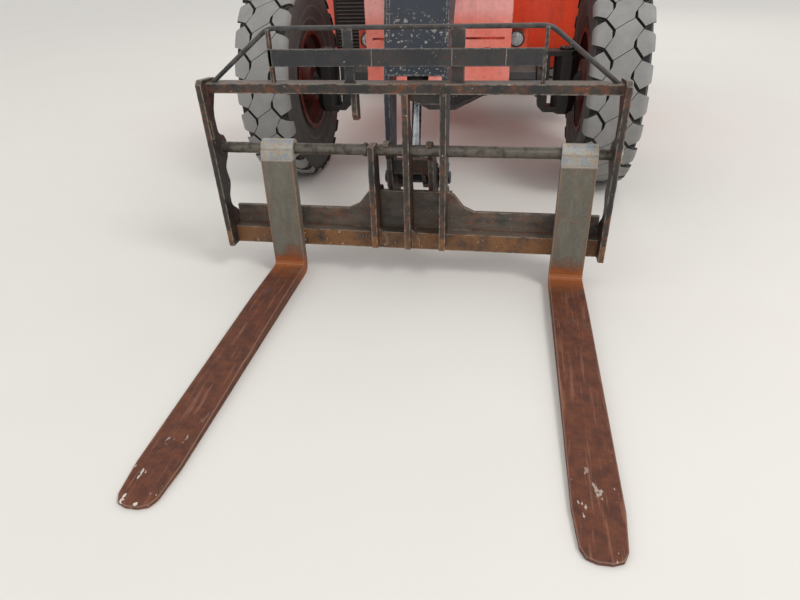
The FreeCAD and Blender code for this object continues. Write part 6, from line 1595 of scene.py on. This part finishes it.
class TELEHANDLER_OT_stage(bpy.types.Operator):
    """Sets the pale floor, the soft light and the camera at the photograph's angle"""
    bl_idname = "telehandler.stage"
    bl_label = "Stage"

    def execute(self, context):
        scene = context.scene
        tree, shader, place = start_material("floor_pale_matt", {"Metallic": 0.0, "Roughness": 0.9})
        grain = patches(tree, place, 900, 0.3, 0.7)
        tree.links.new(mixed(tree, ["#d9d6d0", (grain, 0.3, "#d2cec7")]), shader.inputs["Base Color"])
        mesh = bpy.data.meshes.new("floor")
        half, z = 30, -0.002  # in metres; just under the ground, so that the tyres don't cut it
        mesh.from_pydata([(-half, -half, z), (half, -half, z), (half, half, z), (-half, half, z)], [],
                         [(0, 1, 2, 3)])
        mesh.materials.append(bpy.data.materials["floor_pale_matt"])
        floor = bpy.data.objects.new("floor", mesh)
        scene.collection.objects.link(floor)
        world = bpy.data.worlds.new("soft_studio")
        world.use_nodes = True
        tree = world.node_tree
        tree.nodes.clear()
        light = add(tree, "ShaderNodeBackground", {0: (1, 1, 1, 1), 1: 0.9})
        backdrop = add(tree, "ShaderNodeBackground", {0: (*linear("#d3d1cc"), 1), 1: 1.0})
        seen = add(tree, "ShaderNodeLightPath", out=0)
        shown = add(tree, "ShaderNodeMixShader", {0: seen, 1: light, 2: backdrop})
        add(tree, "ShaderNodeOutputWorld", {0: shown})
        scene.world = world
        # Soft boxes: name, place, size in metres, power in watts
        for name, spot, size, power in (("key", (5.5, -6.0, 8.0), 3.0, 400),
                                        ("fill", (-7.0, -5.0, 5.0), 6.0, 50),
                                        ("rear", (2.0, 9.0, 7.0), 6.0, 130)):
            lamp = bpy.data.lights.new(name, "AREA")
            lamp.energy = power
            lamp.size = size
            holder = bpy.data.objects.new(name, lamp)
            holder.location = spot
            holder.rotation_euler = (Vector((0, 0, 0.8)) - Vector(spot)).to_track_quat("-Z", "Y").to_euler()
            scene.collection.objects.link(holder)
        scene.view_settings.view_transform = "Standard"
        # The photograph's camera: its right, up and backward directions, as found from the fork blades
        right = Vector((0.98668, 0.16032, -0.02742))
        back = Vector((0.15214, -0.85011, 0.50415))
        up = back.cross(right)
        camera = bpy.data.cameras.new("photo_camera")
        camera.sensor_width = 36
        camera.lens = 27.09
        holder = bpy.data.objects.new("photo_camera", camera)
        holder.matrix_world = Matrix.Translation((0.42008, -4.75532, 1.42595)) @ Matrix(
            (right, up, back)).transposed().to_4x4()
        scene.collection.objects.link(holder)
        scene.camera = holder
        return {"FINISHED"}


OPERATORS = (TELEHANDLER_OT_materials, TELEHANDLER_OT_tyres, TELEHANDLER_OT_rims, TELEHANDLER_OT_cylinders,
             TELEHANDLER_OT_lamps, TELEHANDLER_OT_mirrors, TELEHANDLER_OT_seat, TELEHANDLER_OT_controls,
             TELEHANDLER_OT_cab_fittings, TELEHANDLER_OT_backrest, TELEHANDLER_OT_front_fittings,
             TELEHANDLER_OT_engine_fittings, TELEHANDLER_OT_boom_fittings, TELEHANDLER_OT_chassis_fittings,
             TELEHANDLER_OT_stage)
GROUPS = {"telehandler_colours": TELEHANDLER_PG_colours, "telehandler_tyres": TELEHANDLER_PG_tyres}


class TELEHANDLER_PT_panel(bpy.types.Panel):
    """Lists the settings and the steps that dress the machine"""
    bl_idname = "TELEHANDLER_PT_panel"
    bl_label = "Telehandler"
    bl_space_type = "VIEW_3D"
    bl_region_type = "UI"
    bl_category = "Telehandler"

    def draw(self, context):
        for name, group in GROUPS.items():
            for key in group.__annotations__:
                self.layout.prop(getattr(context.scene, name), key)
        for operator in OPERATORS:
            self.layout.operator(operator.bl_idname)


def register():
    """Make the add-on's classes and settings known."""
    for made in (*GROUPS.values(), *OPERATORS, TELEHANDLER_PT_panel):
        bpy.utils.register_class(made)
    for name, group in GROUPS.items():
        setattr(bpy.types.Scene, name, bpy.props.PointerProperty(type=group))


def unregister():
    """Take the settings and classes away again."""
    for name in GROUPS:
        delattr(bpy.types.Scene, name)
    for made in (TELEHANDLER_PT_panel, *reversed(OPERATORS), *reversed(GROUPS.values())):
        bpy.utils.unregister_class(made)


def main():
    """Dress the frame step by step."""
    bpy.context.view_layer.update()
    register()
    for operator in OPERATORS:
        area, name = operator.bl_idname.split(".")
        getattr(getattr(bpy.ops, area), name)()


if __name__ == "__main__":
    main()
